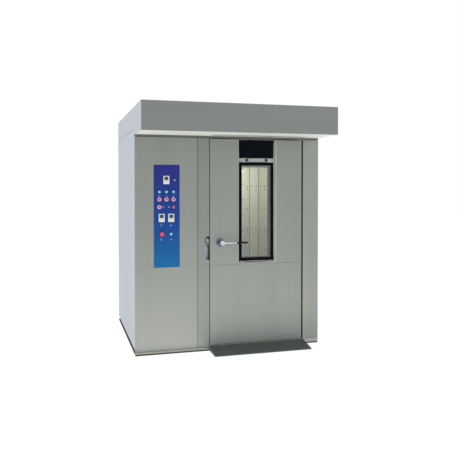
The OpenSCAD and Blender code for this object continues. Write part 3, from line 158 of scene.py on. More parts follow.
def ramp(tree, value, low, high, start=0.3, end=0.7):
    """A run from one colour to another as a value goes from start to end."""
    node = add_node(tree, "ValToRGB", {}, {"Fac": value})
    first, last = node.color_ramp.elements
    first.position, first.color = start, low
    last.position, last.color = end, high
    return node


def add_bump(tree, shader, height, strength, distance_mm, normal=None):
    """Joins a height to the shader's normal."""
    links = {"Height": height}
    if normal is not None:
        links["Normal"] = normal
    node = add_node(tree, "Bump", {"Strength": strength, "Distance": distance_mm * MM}, links)
    tree.links.new(node.outputs["Normal"], shader.inputs["Normal"])


def dull(material, level):
    """Sets how much the skin of a material reflects; 0.5 is plain plastic."""
    material.node_tree.nodes["Principled BSDF"].inputs["Specular IOR Level"].default_value = level


# %% [markdown]
# ## Sheet metal
# The casing is stainless sheet with a ground finish: a belt leaves fine scratches in one
# direction, here upright, and the sheet shows broad soft streaks where the belt overlapped.
# Scratches are about 0.3 mm wide; they are drawn 2 mm wide so that they show in a picture
# of the whole oven. Thin sheet is never quite flat, so a long, weak bump bends reflections.

# %% Ground stainless sheet
SCRATCH_LONG, SCRATCH_FINE = 2600, 2
WAVE_MM = (420, 420, 620)
GLOSS_SPREAD = 0.07


def ground_sheet(name, light, dark, roughness=0.48, upright=True, streak_mm=90, metallic=0.7):
    """Ground stainless: two tones, streaks, fine scratches and slow waves."""
    material, tree, shader = new_finish(name, Metallic=metallic, Roughness=roughness)

    def along(width):
        """The size of a pattern that runs with the belt, upright or level."""
        return (width, width, SCRATCH_LONG) if upright else (SCRATCH_LONG, width, width)

    grain = pattern(tree, along(SCRATCH_FINE), 3.0, 0.6)
    streak = pattern(tree, along(streak_mm))
    both = add_node(tree, "Mix", {"data_type": "FLOAT", 0: 0.45},
                    {2: streak.outputs["Fac"], 3: grain.outputs["Fac"]})
    tone = ramp(tree, both.outputs[0], hex_colour(dark), hex_colour(light), 0.36, 0.64)
    tree.links.new(tone.outputs["Color"], shader.inputs["Base Color"])
    gloss = add_node(tree, "MapRange",
                     {"To Min": roughness - GLOSS_SPREAD, "To Max": roughness + GLOSS_SPREAD},
                     {"Value": grain.outputs["Fac"]})
    tree.links.new(gloss.outputs["Result"], shader.inputs["Roughness"])
    wave = pattern(tree, WAVE_MM, 0.0)
    waves = add_node(tree, "Bump", {"Strength": 0.2, "Distance": 0.002},
                     {"Height": wave.outputs["Fac"]})
    add_bump(tree, shader, grain.outputs["Fac"], 0.05, 0.2, waves.outputs["Normal"])
    return material


front_sheet = ground_sheet("stainless_sheet_ground_front", "#8b8f8b", "#878b87")
# The side sheet is the same stainless in a much lighter, bluer tone: painted light from the side.
side_lit_sheet = ground_sheet("stainless_sheet_ground_side_painted_light", "#b8bec5", "#aeb5bc", streak_mm=240)
# The hood sheet has level grain and a darker tone than the front: painted shade.
hood_shade_sheet = ground_sheet("stainless_sheet_ground_hood_painted_shade", "#828684", "#7d817f", upright=False)
bright_sheet = ground_sheet("stainless_sheet_bright", "#d8dad4", "#cdd0ca", 0.4)
chamber_sheet = ground_sheet("stainless_sheet_heat_tinted", "#d4d1c2", "#bdbaab", 0.45,
                             metallic=0.6)
# The pale sheet is near white: painted light on the window channel's reveal, the hinge bosses and
# the hood's underside.
pale_lit_sheet = ground_sheet("stainless_sheet_pale_painted_light", "#f1f1ec", "#e8e8e2", 0.6,
                          metallic=0.15)
bar_sheet = ground_sheet("stainless_bar_brushed", "#a5a8aa", "#9a9d9f", 0.4, upright=False)
# The centre post's sheet is the front stainless a little darker: painted shade.
post_shade_sheet = ground_sheet("stainless_sheet_ground_post_painted_shade", "#878b87", "#818581")
# The right post's sheet is the front stainless a little lighter: painted light.
right_post_lit_sheet = ground_sheet("stainless_sheet_ground_right_post_painted_light", "#929691", "#8c908b")
# The header's sheet is much darker: painted shade under the hood.
header_shade_sheet = ground_sheet("stainless_sheet_ground_header_painted_shade", "#6b6e6c", "#646866", upright=False)
# The sill's sheet is much lighter: painted light from the floor.
sill_lit_sheet = ground_sheet("stainless_sheet_ground_sill_painted_light", "#a9aaa4", "#a1a29c", upright=False)
print("sheet finishes made")

# %% [markdown]
# ## Cast, galvanised and painted metal
# Roof ducts are galvanised: hot zinc freezes into flat crystals a centimetre or so wide, the
# spangle. Castings keep the grain of their sand mould. The exchanger has been red hot and
# shows brown and blue oxide. Machine paint is an even coat with a fine orange-peel bump.

# %% Galvanised steel, castings, scaled steel
SPANGLES_PER_M = 75


def galvanised(name):
    """Hot-dip zinc with spangle about 13 mm wide."""
    material, tree, shader = new_finish(name, Metallic=1.0, Roughness=0.45)
    place = add_node(tree, "TexCoord")
    cells = add_node(tree, "TexVoronoi", {"Scale": SPANGLES_PER_M},
                     {"Vector": place.outputs["Object"]})
    tone = ramp(tree, cells.outputs["Color"], hex_colour("#a4aaae"), hex_colour("#bcc1c4"),
                0.2, 0.8)
    tree.links.new(tone.outputs["Color"], shader.inputs["Base Color"])
    gloss = add_node(tree, "MapRange", {"To Min": 0.4, "To Max": 0.5},
                     {"Value": cells.outputs["Color"]})
    tree.links.new(gloss.outputs["Result"], shader.inputs["Roughness"])
    return material


def grainy(name, light, dark, grain_mm, bump_mm, metallic=0.0, roughness=0.6, strength=0.5):
    """An even surface with a grain of a real size, as on castings, paint, rubber and plastic."""
    material, tree, shader = new_finish(name, Metallic=metallic, Roughness=roughness)
    grain = pattern(tree, (grain_mm,) * 3, 3.0, 0.6)
    cloud = pattern(tree, (grain_mm * 40,) * 3, 2.0)
    tone = ramp(tree, cloud.outputs["Fac"], hex_colour(dark), hex_colour(light), 0.3, 0.7)
    tree.links.new(tone.outputs["Color"], shader.inputs["Base Color"])
    worn = add_node(tree, "MapRange", {"To Min": roughness - 0.05, "To Max": roughness + 0.08},
                    {"Value": cloud.outputs["Fac"]})
    tree.links.new(worn.outputs["Result"], shader.inputs["Roughness"])
    add_bump(tree, shader, grain.outputs["Fac"], strength, bump_mm)
    return material


zinc_sheet = galvanised("steel_sheet_galvanised")
cast_trays = grainy("cast_iron_raw", "#4a4b4d", "#333436", 2.0, 0.4, 0.6, 0.62)
scaled_steel = grainy("steel_oxide_scaled", "#8a6a55", "#5c4f52", 4.0, 0.2, 0.85, 0.48)
frame_paint = grainy("steel_dark_grey_painted", "#3c4041", "#2f3334", 1.5, 0.05, 0.0, 0.5)
ramp_plate = grainy("steel_plate_phosphated", "#646969", "#565b5c", 1.8, 0.12, 0.35, 0.55)
burner_paint = grainy("cast_aluminium_red_enamelled", "#b23a2c", "#98301f", 1.5, 0.06, 0.0, 0.38)
motor_paint = grainy("cast_aluminium_blue_grey_painted", "#4c6076", "#3f5167", 1.6, 0.08,
                     0.0, 0.42)
switch_plastic = grainy("polycarbonate_light_grey_moulded", "#b5b8b8", "#a6a9aa", 0.8, 0.03,
                        0.0, 0.5)
print("cast and painted finishes made")

# %% [markdown]
# ## Rubber, plastic, chrome and glass
# The door seal is silicone rubber, matt and slightly dusty. Knobs and grip are moulded
# thermoset plastic. The lever is chrome: a mirror with nearly no grain, only a little haze
# where hands polish it. The panes are clear tempered glass with a faint green body colour.

# %% Rubber, plastic, chrome, glass


def smooth_metal(name, light, dark, roughness):
    """Polished metal whose haze changes slowly over the piece."""
    material, tree, shader = new_finish(name, Metallic=1.0, Roughness=roughness)
    haze = pattern(tree, (35, 35, 35), 3.0)
    tone = ramp(tree, haze.outputs["Fac"], hex_colour(dark), hex_colour(light))
    tree.links.new(tone.outputs["Color"], shader.inputs["Base Color"])
    gloss = add_node(tree, "MapRange", {"To Min": roughness * 0.6, "To Max": roughness * 1.6},
                     {"Value": haze.outputs["Fac"]})
    tree.links.new(gloss.outputs["Result"], shader.inputs["Roughness"])
    return material


def pane(name, tint, roughness=0.02):
    """Clear tempered glass, with fingermarks as slow changes of gloss."""
    material, tree, shader = new_finish(name, Roughness=roughness, IOR=1.5)
    shader.inputs["Transmission Weight"].default_value = 1.0
    shader.inputs["Base Color"].default_value = hex_colour(tint)
    marks = pattern(tree, (60, 60, 60), 3.0)
    gloss = add_node(tree, "MapRange", {"To Min": 0.0, "To Max": roughness * 2},
                     {"Value": marks.outputs["Fac"]})
    tree.links.new(gloss.outputs["Result"], shader.inputs["Roughness"])
    return material


# Real seals are silicone rubber; the same black also paints the shade in the gaps beside the door
# and under the casing.
seal_rubber_and_gap_shade = grainy("silicone_rubber_black_and_painted_shade", "#26282a", "#1b1d1f", 1.2, 0.05, 0.0, 0.7)
black_thermoset = grainy("thermoset_black_moulded", "#101214", "#0a0c0e", 0.9, 0.03, 0.0, 0.42)
dull(black_thermoset, 0.25)
black_anodised = grainy("aluminium_black_anodised", "#05090f", "#030509", 0.8, 0.02, 0.0, 0.36)
dull(black_anodised, 0.03)
chrome = smooth_metal("steel_chrome_plated", "#ccd1d5", "#b4babf", 0.1)
turned_steel = smooth_metal("stainless_steel_turned", "#c9cbc8", "#aeb1af", 0.24)
# The rosette's plating is written dark: its colour paints a dark reflection.
rosette_dark_reflection_steel = smooth_metal("steel_nickel_plated_painted_dark_reflection", "#717d86", "#5c6871", 0.2)
# The rivet heads are dark grey: their tone paints the shade round them; the slat strips use it
# too.
rivet_shade_steel = smooth_metal("steel_rivet_painted_shade", "#4c4c45", "#383833", 0.4)
lining_steel = smooth_metal("stainless_steel_lining", "#8d9496", "#7d8486", 0.42)
zinc_plated = smooth_metal("steel_zinc_plated", "#8f9497", "#7e8386", 0.36)
door_glass = pane("glass_clear_tempered", "#f4faf7")
lamp_glass = grainy("glass_black_enamelled", "#0b1118", "#070b12", 2.0, 0.01, 0.0, 0.12, 0.1)
dull(lamp_glass, 0.03)
print("rubber, plastic and glass finishes made")

# %% [markdown]
# ## Mineral wool
# The casing is packed with mineral wool board: fibres a few hundredths of a millimetre
# thick that lie in layers. They are drawn as streaks 3 mm wide and 12 mm long in two tones,
# very matt.

# %% Mineral wool
mineral_wool, wool_tree, wool_shader = new_finish("mineral_wool_board", Roughness=0.95)
fibres = pattern(wool_tree, (3, 3, 12), 6.0, 0.7)
wool_tone = ramp(wool_tree, fibres.outputs["Fac"], hex_colour("#8f8355"), hex_colour("#c8bb86"))
wool_tree.links.new(wool_tone.outputs["Color"], wool_shader.inputs["Base Color"])
add_bump(wool_tree, wool_shader, fibres.outputs["Fac"], 0.8, 2.0)

# %% [markdown]
# ## The blue control panel
# The panel is an aluminium plate with a printed polyester film. The print runs from violet
# blue at the top to sky blue at the bottom, and the film gives an even, soft gloss. The
# print's run is a gradient over the panel's own height, read from its object coordinates.

# %% Printed polyester film
panel_low, panel_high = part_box("control_fascia")
blue_film, film_tree, film_shader = new_finish("polyester_film_blue_printed", Roughness=0.32)
film_place = add_node(film_tree, "TexCoord")
film_axes = add_node(film_tree, "SeparateXYZ", {}, {"Vector": film_place.outputs["Object"]})
film_height = add_node(film_tree, "MapRange", {"From Min": panel_low.z, "From Max": panel_high.z},
                       {"Value": film_axes.outputs["Z"]})
film_print = ramp(film_tree, film_height.outputs["Result"], hex_colour("#0a66a1"),
                  hex_colour("#232a80"), 0.0, 1.0)
middle = film_print.color_ramp.elements.new(0.45)
middle.color = hex_colour("#144191")
film_tree.links.new(film_print.outputs["Color"], film_shader.inputs["Base Color"])
dull(blue_film, 0.2)
film_grain = pattern(film_tree, (0.8, 0.8, 0.8), 2.0)
add_bump(film_tree, film_shader, film_grain.outputs["Fac"], 0.15, 0.03)

# %% [markdown]
# ## Lenses and housings
# Lit push buttons have caps of coloured plastic over a lamp: the colour comes from inside, so
# they glow a little under a glossy coat. The controllers are moulded in white plastic.

# %% Lenses and housings


def lens(name, colour, deep):
    """A coloured cap: saturated body, glossy skin and a faint light from inside."""
    material, tree, shader = new_finish(name, Roughness=0.22, IOR=1.49)
    rings = pattern(tree, (5, 5, 5), 2.0)
    tone = ramp(tree, rings.outputs["Fac"], hex_colour(deep), hex_colour(colour))
    tree.links.new(tone.outputs["Color"], shader.inputs["Base Color"])
    shader.inputs["Coat Weight"].default_value = 0.6
    shader.inputs["Emission Color"].default_value = hex_colour(colour)
    shader.inputs["Emission Strength"].default_value = 0.12
    return material


green_lens = lens("polycarbonate_green_lens", "#6fcdd2", "#5fc2c8")
red_lens = lens("polycarbonate_red_lens", "#dc3550", "#d02f4a")
white_housing = grainy("abs_white_moulded", "#e9eae8", "#dcdedc", 0.9, 0.03, 0.0, 0.45)
print("lens finishes made")

# %% [markdown]
# ## Floor, background and light
# The oven stands on a white studio floor in front of a white background. The world is white
# for the camera, for reflections and through glass; for its light on matt surfaces it is
# dimmer, so that the lamps can model the shapes. The floor is part lit and part plain white,
# which keeps a faint shadow beside the oven. Two warm lamps just above it add to the light
# that it throws back: the sheets are brightest at the bottom, as in the photograph. The hood's
# underside is pale by painted light: it has the near-white pale sheet.

# %% Studio
PLAIN_WHITE = (1, 1, 1, 1)
SKY_GREY, SKY_STRENGTH = (0.62, 0.64, 0.66, 1), 0.7
FLOOR_GREY, FLOOR_GLOW = (0.85, 0.85, 0.85, 1), 0.7
GLOW_ON_OVEN, GLOW_SEEN = 0.85, 1.28
FLOOR_SIZE, FLOOR_GAP = 40, 0.0005
world = bpy.data.worlds.new("studio")
bpy.context.scene.world = world
world.use_nodes = True
sky = world.node_tree
sky.nodes.clear()
rays = add_node(sky, "LightPath")
seen = add_node(sky, "Math", {"operation": "MAXIMUM"},
                {0: rays.outputs["Is Camera Ray"], 1: rays.outputs["Is Transmission Ray"]})
seen_gloss = add_node(sky, "Math", {"operation": "MAXIMUM"},
                      {0: seen.outputs[0], 1: rays.outputs["Is Glossy Ray"]})
plain = add_node(sky, "Background", {"Color": SKY_GREY, "Strength": SKY_STRENGTH})
white = add_node(sky, "Background", {"Color": PLAIN_WHITE, "Strength": 1.0})
world_mix = add_node(sky, "MixShader", {}, {0: seen_gloss.outputs[0], 1: plain.outputs[0],
                                            2: white.outputs[0]})
add_node(sky, "OutputWorld", {}, {"Surface": world_mix.outputs[0]})

floor_white, floor_tree, floor_shader = new_finish("studio_floor_white", Roughness=0.8,
                                                   Base_Color=FLOOR_GREY)
floor_rays = add_node(floor_tree, "LightPath")
floor_seen = add_node(floor_tree, "Math", {"operation": "MAXIMUM"},
                      {0: floor_rays.outputs["Is Camera Ray"],
                       1: floor_rays.outputs["Is Glossy Ray"]})
floor_strength = add_node(floor_tree, "MapRange", {"To Min": GLOW_ON_OVEN, "To Max": GLOW_SEEN},
                          {"Value": floor_seen.outputs[0]})
floor_glow = add_node(floor_tree, "Emission", {"Color": PLAIN_WHITE},
                      {"Strength": floor_strength.outputs["Result"]})
floor_mix = add_node(floor_tree, "MixShader", {0: FLOOR_GLOW}, {1: floor_shader.outputs[0],
                                                                2: floor_glow.outputs[0]})
floor_tree.links.new(floor_mix.outputs[0], floor_tree.nodes["Material Output"].inputs["Surface"])

bpy.ops.object.select_all(action="DESELECT")
bpy.ops.mesh.primitive_plane_add(size=FLOOR_SIZE, location=(0, 0, -FLOOR_GAP))
studio_floor = bpy.context.object
studio_floor.name = "studio_floor"
studio_floor.data.materials.append(floor_white)


def soft_lamp(name, place, aim, length, width, watts, colour=(1, 1, 1)):
    """A soft lamp that looks at a point; places and sizes are in metres."""
    data = bpy.data.lights.new(name, "AREA")
    data.shape = "RECTANGLE"
    data.size, data.size_y = length, width
    data.energy = watts
    data.color = colour
    lamp = bpy.data.objects.new(name, data)
    lamp.location = place
    lamp.rotation_euler = (Vector(aim) - Vector(place)).to_track_quat("-Z", "Y").to_euler()
    lamp.visible_camera = False
    bpy.context.scene.collection.objects.link(lamp)
    return lamp


WARM = (1.0, 0.965, 0.9)
# each lamp: name, place, aim, length, width, watts, colour
soft_lamp("key_lamp", (-2.5, -7.0, 5.8), (0, -0.4, 0.8), 4.0, 4.0, 46)
soft_lamp("floor_bounce_far", (-0.1, -2.4, 0.03), (-0.1, -2.4, 2.0), 4.0, 2.2, 37, WARM)
soft_lamp("floor_bounce_near", (-0.72, -0.95, 0.03), (-0.72, -0.95, 2.0), 1.0, 0.6, 2.3, WARM)
soft_lamp("fill_lamp", (5.0, -6.0, 3.0), (0, -0.4, 1.2), 5.0, 5.0, 30)
soft_lamp("back_lamp", (1.5, 6.5, 4.0), (0, 0.2, 1.2), 5.0, 5.0, 150)
soft_lamp("side_lamp", (-7.0, 0.5, 4.3), (-0.9, 0.2, 1.6), 5.0, 5.0, 138)
print("studio lit")

# %% [markdown]
# ## Selecting in edit mode
# Pieces are modelled as by hand: everything is deselected, one object is made active, and
# edit mode operators then act on everything, or on the faces that look forwards.

# %% Hand tools
WELD_M = 0.00002


def start(obj):
    """Makes obj the only selected and active object."""
    bpy.ops.object.select_all(action="DESELECT")
    obj.select_set(True)
    bpy.context.view_layer.objects.active = obj


def edit(obj, kind="FACE"):
    """Opens obj in edit mode with nothing selected."""
    start(obj)
    bpy.ops.object.mode_set(mode="EDIT")
    bpy.ops.mesh.select_mode(type=kind)
    bpy.ops.mesh.select_all(action="DESELECT")


def pick_front(obj):
    """Selects the faces that look along -Y; obj is in edit mode before and after."""
    bpy.ops.object.mode_set(mode="OBJECT")
    for face in obj.data.polygons:
        face.select = face.normal.y < -0.9
    bpy.ops.object.mode_set(mode="EDIT")


def done(obj, angle=35):
    """Leaves edit mode, applies obj's place and shades it smooth up to an angle."""
    if bpy.context.mode != "OBJECT":
        bpy.ops.object.mode_set(mode="OBJECT")
    start(obj)
    bpy.ops.object.transform_apply(location=True, rotation=True, scale=True)
    bpy.ops.object.shade_smooth_by_angle(angle=math.radians(angle))
    return obj


def apply_modifier(obj, kind, **settings):
    """Adds a modifier, sets it and applies it."""
    start(obj)
    modifier = obj.modifiers.new(kind.lower(), kind)
    for name, value in settings.items():
        setattr(modifier, name, value)
    bpy.ops.object.modifier_apply(modifier=modifier.name)


def weld(obj):
    """Merges corners that lie on each other and turns all faces outwards."""
    edit(obj, "VERT")
    bpy.ops.mesh.select_all(action="SELECT")
    bpy.ops.mesh.remove_doubles(threshold=WELD_M)
    bpy.ops.mesh.normals_make_consistent(inside=False)
    bpy.ops.object.mode_set(mode="OBJECT")


def give(obj, name, finish, body):
    """Names a finished piece, gives it its finish and lets it ride on a body."""
    obj.name = name
    obj.data.materials.clear()
    obj.data.materials.append(finish)
    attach(obj, body)
    return obj


def copies(source, offsets, name):
    """Copies of a finished mesh, moved by offsets and joined into one piece."""
    made = []
    for offset in offsets:
        copy = source.copy()
        copy.data = source.data.copy()
        copy.location = offset
        bpy.context.scene.collection.objects.link(copy)
        made.append(copy)
    bpy.data.objects.remove(source)
    bpy.ops.object.select_all(action="DESELECT")
    for copy in made:
        copy.select_set(True)
    bpy.context.view_layer.objects.active = made[0]
    bpy.ops.object.join()
    joined = bpy.context.object
    joined.name = name
    bpy.ops.object.transform_apply(location=True, rotation=True, scale=True)
    return joined


# %% [markdown]
# ## Dressing the sheet metal
# Folded sheet has a small radius at every fold, and that radius catches a thin line of
# light: it is most of what makes metal look like metal. A CAD node is loose triangles with
# knife edges, so it is copied, its corners are merged, flat triangles are dissolved into
# whole faces, and its edges get a bevel of about the real fold radius. The copy stands for
# the node and rides on the same body.

# %% Soften the folds
FLAT_DEG, FOLD_DEG = 0.5, 40


def soften(node, name, finish, radius_mm):
    """A copy of a CAD node with merged faces and rounded folds."""
    source = nodes[node]
    copy = source.copy()
    copy.data = source.data.copy()
    copy.parent = None
    bpy.context.scene.collection.objects.link(copy)
    edit(copy, "VERT")
    bpy.ops.mesh.select_all(action="SELECT")
    bpy.ops.mesh.remove_doubles(threshold=WELD_M)
    bpy.ops.mesh.dissolve_limited(angle_limit=math.radians(FLAT_DEG))
    done(copy)
    apply_modifier(copy, "BEVEL", width=radius_mm * MM, segments=2, limit_method="ANGLE",
                   angle_limit=math.radians(FOLD_DEG), use_clamp_overlap=True, loop_slide=True)
    apply_modifier(copy, "WEIGHTED_NORMAL", weight=100, keep_sharp=False)
    give(copy, name, finish, body_of_node[node])
    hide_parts(node)
    return copy


# each sheet or casting: CAD node, name of the dressed piece, finish, fold radius in mm
folded = [
    ("service_panel", "service_door_sheets", front_sheet, 1.2),
    ("door_skins", "oven_door_sheets", front_sheet, 1.2),
    ("front_trim", "header_and_sill_sheets", header_shade_sheet, 1.0),
    ("centre_post", "centre_post_sheet", post_shade_sheet, 1.2),
    ("right_post", "right_post_sheet", right_post_lit_sheet, 0.8),
    ("left_side_panels", "left_side_sheets", side_lit_sheet, 1.5),
    ("right_side_panels", "right_side_sheets", side_lit_sheet, 1.5),
    ("rear_panels", "rear_sheets", side_lit_sheet, 1.5),
    ("crown_panels", "crown_sheets", side_lit_sheet, 1.2),
    ("hood_shell", "hood_sheets", hood_shade_sheet, 0.9),
    ("ramp", "ramp_plate", ramp_plate, 1.5),
    ("window_frame", "window_frame_bars", black_anodised, 1.2),
    ("clamp_bar", "window_clamp_bar", bar_sheet, 0.8),
    ("control_fascia", "control_panel_plate", blue_film, 0.5),
    ("temperature_controllers", "controller_housings", white_housing, 0.7),
    ("burner", "burner_castings", burner_paint, 3.0),
    ("rack_gearmotor", "rack_gearmotor_casting", motor_paint, 2.5),
    ("fan_motor", "fan_motor_casting", motor_paint, 1.5),
    ("electrical_box", "switchgear_cabinet", switch_plastic, 1.0),
    ("heat_exchanger", "heat_exchanger_welded", scaled_steel, 3.0),
    ("steam_generator", "steam_trays", cast_trays, 1.5),
    ("levelling_feet", "levelling_feet_turned", zinc_plated, 1.0),
    ("roof_ducts", "roof_duct_spigots", zinc_sheet, 0.6),
    ("hinge_hardware", "pivots_and_keeper", zinc_plated, 0.6),
    ("fan_impeller", "fan_impeller_welded", turned_steel, 0.4),
    ("rack_spindle", "rack_spindle_and_hooks", bright_sheet, 1.2),
    ("steam_damper", "steam_damper_blade", zinc_sheet, 0.6),
    ("window_channel", "window_channel_reveal", pale_lit_sheet, 0.6),
    ("handle_rosette", "handle_rosette_plate", rosette_dark_reflection_steel, 1.2),
    ("handle_lever", "handle_lever_and_latch", chrome, 0.8),
    ("handle_grip", "handle_grip_moulded", black_thermoset, 1.5),
    ("clamp_knob_left", "clamp_knob_left_moulded", black_thermoset, 1.2),
    ("clamp_knob_right", "clamp_knob_right_moulded", black_thermoset, 1.2),
    ("cam_lock", "cam_lock_cylinder", zinc_plated, 0.5),
]
for lens_finish, kinds in ((green_lens, ("green_button", "start_button")),
                           (red_lens, ("red_button", "stop_button"))):
    folded += [(node, node + "_cap", lens_finish, 0.5) for node in nodes if node.startswith(kinds)]
for node, name, finish, radius in folded:
    piece = soften(node, name, finish, radius)
    print(name, len(piece.data.polygons), "faces")

# %% [markdown]
# ## Faces with a finish of their own
# One CAD node can hold faces of two finishes. The hood's cheeks and the latch pocket get the
# side sheet, with upright grain and a lighter tone that is painted light. The window's hinge
# bosses under the black bars get the pale sheet, also painted light. The channel's top reveal
# is painted black and its left side has the darker post sheet: painted shade. The latch arm is
# zinc plated behind the chrome lever. The sill shows its grain level, in a lighter tone that
# is painted light from the floor. Black rubber on the cheeks in the gaps beside the door is
# painted shade. Every button has a moulded bezel on the blue film. The faces are picked by
# their place and normal, and get a second material slot.

# %% Second finishes
TOWARDS = 0.7  # the least part of a face's normal along the axis that it looks along


def paint_faces(name, finish, test):
    """Gives a second finish to the faces whose centre (in casing mm) and normal pass the test."""
    obj = bpy.data.objects[name]
    obj.data.materials.append(finish)
    index = len(obj.data.materials) - 1
    for face in obj.data.polygons:
        if test((face.center - casing_corner) / MM, face.normal):
            face.material_index = index


white_bezel = grainy("abs_white_moulded_bezel", "#f4dfe8", "#ead2dd", 0.9, 0.03, 0.0, 0.4)
dark_bezel = grainy("abs_dark_blue_moulded_bezel", "#23407a", "#1b3366", 0.9, 0.03, 0.0, 0.4)
FILM_T, BEZEL_RISE, BEZEL_REACH = 3, 0.2, 12
PANEL_Y = node_mm("service_panel")[0].y
red_ringed = [node_mm("red_button_" + str(i)) for i in range(1, 5)]


def near_red(place):
    """Whether a place on the panel is at one of the ringed red buttons."""
    return any(low.x - BEZEL_REACH < place.x < high.x + BEZEL_REACH
               and low.z - BEZEL_REACH < place.z < high.z + BEZEL_REACH
               for low, high in red_ringed)


def on_bezel(place):
    """Whether a face of the panel's plate stands out in front of the film."""
    return place.y < PANEL_Y - FILM_T - BEZEL_RISE


lever_low, lever_high = node_mm("handle_lever")
POCKET_Z, POCKET_HALF, POCKET_REACH = 1032, 125, 130


def in_pocket(place, normal):
    """Whether a face of the centre post lies inside the latch pocket, whose faces get painted
    light.
    """
    return (place.y > 0.5 and lever_low.x - POCKET_REACH < place.x
            and abs(place.z - POCKET_Z) < POCKET_HALF)


def left_cheek(node):
    """A test for the faces at a sheet's left edge that look left, behind its front, which are
    painted black as the shade in the gap.
    """
    edge = node_mm(node)[0].x
    return lambda p, n: n.x < -TOWARDS and p.x < edge + 2 and p.y > 2


lamp_top = node_mm("lamp_cover")[1].z
door_foot = node_mm("door_skins")[0].z
boss_top = node_mm("window_frame")[0].z + 8
ARM_Y, CHANNEL_LEFT = 8, 60
# each second finish: dressed piece, finish, test of a face's place and normal
seconds = [
    # The hood's cheeks get the lighter side sheet: painted light.
    ("hood_sheets", side_lit_sheet, lambda p, n: abs(n.x) > TOWARDS),
    ("window_frame_bars", pale_lit_sheet, lambda p, n: p.z < boss_top),
    ("handle_lever_and_latch", zinc_plated, lambda p, n: p.y > ARM_Y),
    # The channel's top reveal is painted black and its left side has the darker post sheet: both
    # painted shade.
    ("window_channel_reveal", black_anodised, lambda p, n: p.z > lamp_top and abs(n.z) > TOWARDS),
    ("window_channel_reveal", post_shade_sheet,
     lambda p, n: p.x < lever_high.x + CHANNEL_LEFT and n.z < 0.5),
    # The pocket's faces get the lighter side sheet: painted light.
    ("centre_post_sheet", side_lit_sheet, in_pocket),
    # The cheeks in the gaps beside the door get black rubber: painted shade.
    ("right_post_sheet", seal_rubber_and_gap_shade, left_cheek("right_post")),
    ("oven_door_sheets", seal_rubber_and_gap_shade, left_cheek("door_skins")),
    # The sill's faces get the lighter sheet: painted light.
    ("header_and_sill_sheets", sill_lit_sheet, lambda p, n: p.z < door_foot),
    ("control_panel_plate", white_bezel, lambda p, n: on_bezel(p) and near_red(p)),
    ("control_panel_plate", dark_bezel, lambda p, n: on_bezel(p) and not near_red(p)),
]
for name, finish, test in seconds:
    paint_faces(name, finish, test)
print("second finishes:", len(seconds))

# %% [markdown]
# ## Finishes for the other nodes
# The rest of the CAD is right as it is: turned, drawn or flat pieces whose edges are small
# or out of sight. Each keeps its mesh and gets the finish of the real piece, except the hood's
# underside, whose near-white sheet is painted light.

# %% Finishes
finish_of = {
    # The hood's underside is near white: painted light.
    "base_frame": frame_paint, "hood_underside": pale_lit_sheet, "hood_filter": bright_sheet,
    "chamber_side_walls": chamber_sheet, "chamber_back_slats": chamber_sheet,
    "chamber_ceiling": chamber_sheet, "chamber_floor": chamber_sheet,
    "door_frame": bright_sheet, "insulation": mineral_wool, "roof_deck": zinc_sheet,
    "door_inner_pan": bright_sheet, "door_insulation": mineral_wool,
    "door_gasket": seal_rubber_and_gap_shade, "door_inner_glass": door_glass,
    "lamp_cover": lamp_glass, "window_glass": door_glass,
}
for node, finish in finish_of.items():
    obj = nodes[node]
    obj.data.materials.clear()
    obj.data.materials.append(finish)
    start(obj)
    bpy.ops.object.shade_smooth_by_angle(angle=math.radians(30))
print("finishes on", len(finish_of), "nodes")

# %% [markdown]
# ## Light in the chamber
# A baker looks into the oven by its own light, which comes from a lamp behind dark glass over
# the window. What the photograph shows of it is a glare on the upper left of the back wall.
# It is drawn as a soft lamp in the chamber, at the upper left in front of the slats, that
# looks down to their right; it is itself unseen in glass and in reflections.

# %% Chamber light
LAMP_RIGHT, LAMP_FORWARD, LAMP_UP = 60, 420, 90
GLARE_X, GLARE_Z = 1300, 1500
inner_low, inner_high = node_mm("door_inner_glass")
slats_low, slats_high = node_mm("chamber_back_slats")
chamber_lamp = soft_lamp("chamber_lamp",
                         at(inner_low.x + LAMP_RIGHT, slats_low.y - LAMP_FORWARD,
                            inner_high.z + LAMP_UP),
                         at(GLARE_X, slats_low.y, GLARE_Z), 0.4, 0.4, 28, (1.0, 0.98, 0.93))
chamber_lamp.visible_transmission = False
chamber_lamp.visible_glossy = False

# %% [markdown]
# ## Small fasteners
# A rivet head is a low dome on a round foot. It starts as a short cylinder; its outer face is
# inset twice, each time a little further out, which rounds the head with few faces. A screw
# starts the same way and gets a sunk recess for its key. One head is modelled, turned to face
# the right way and copied to every place.

# %% Rivets and screws
TURN_DEG = {"-Y": 0, "+Y": 180}
HEAD_SIDES, HEAD_SMOOTH = 14, 40


def fastener(radius, height, facing, socket):
    """One rivet or screw head in mm, with its foot at the origin."""
    foot = height * 0.6
    bpy.ops.object.select_all(action="DESELECT")
    bpy.ops.mesh.primitive_cylinder_add(vertices=HEAD_SIDES, radius=radius * MM, depth=foot * MM,
                                        rotation=(math.radians(90), 0, 0),
                                        location=(0, -foot / 2 * MM, 0))
    head = bpy.context.object
    bpy.ops.object.transform_apply(location=True, rotation=True, scale=True)
    edit(head)
    pick_front(head)
    bpy.ops.mesh.inset(thickness=radius * 0.2 * MM, depth=height * 0.25 * MM)
    bpy.ops.mesh.inset(thickness=radius * 0.28 * MM, depth=height * 0.15 * MM)
    if socket:
        bpy.ops.mesh.inset(thickness=radius * 0.06 * MM, depth=-height * 0.45 * MM)
    done(head, HEAD_SMOOTH)
    head.rotation_euler.z = math.radians(TURN_DEG[facing])
    return done(head, HEAD_SMOOTH)


def fasteners(name, places, facing, radius, height, body, finish, socket=False):
    """Copies of one head at places in casing millimetres."""
    head = fastener(radius, height, facing, socket)
    piece = copies(head, [at(*place) for place in places], name)
    print(name, len(places), "heads")
    return give(piece, name, finish, body)


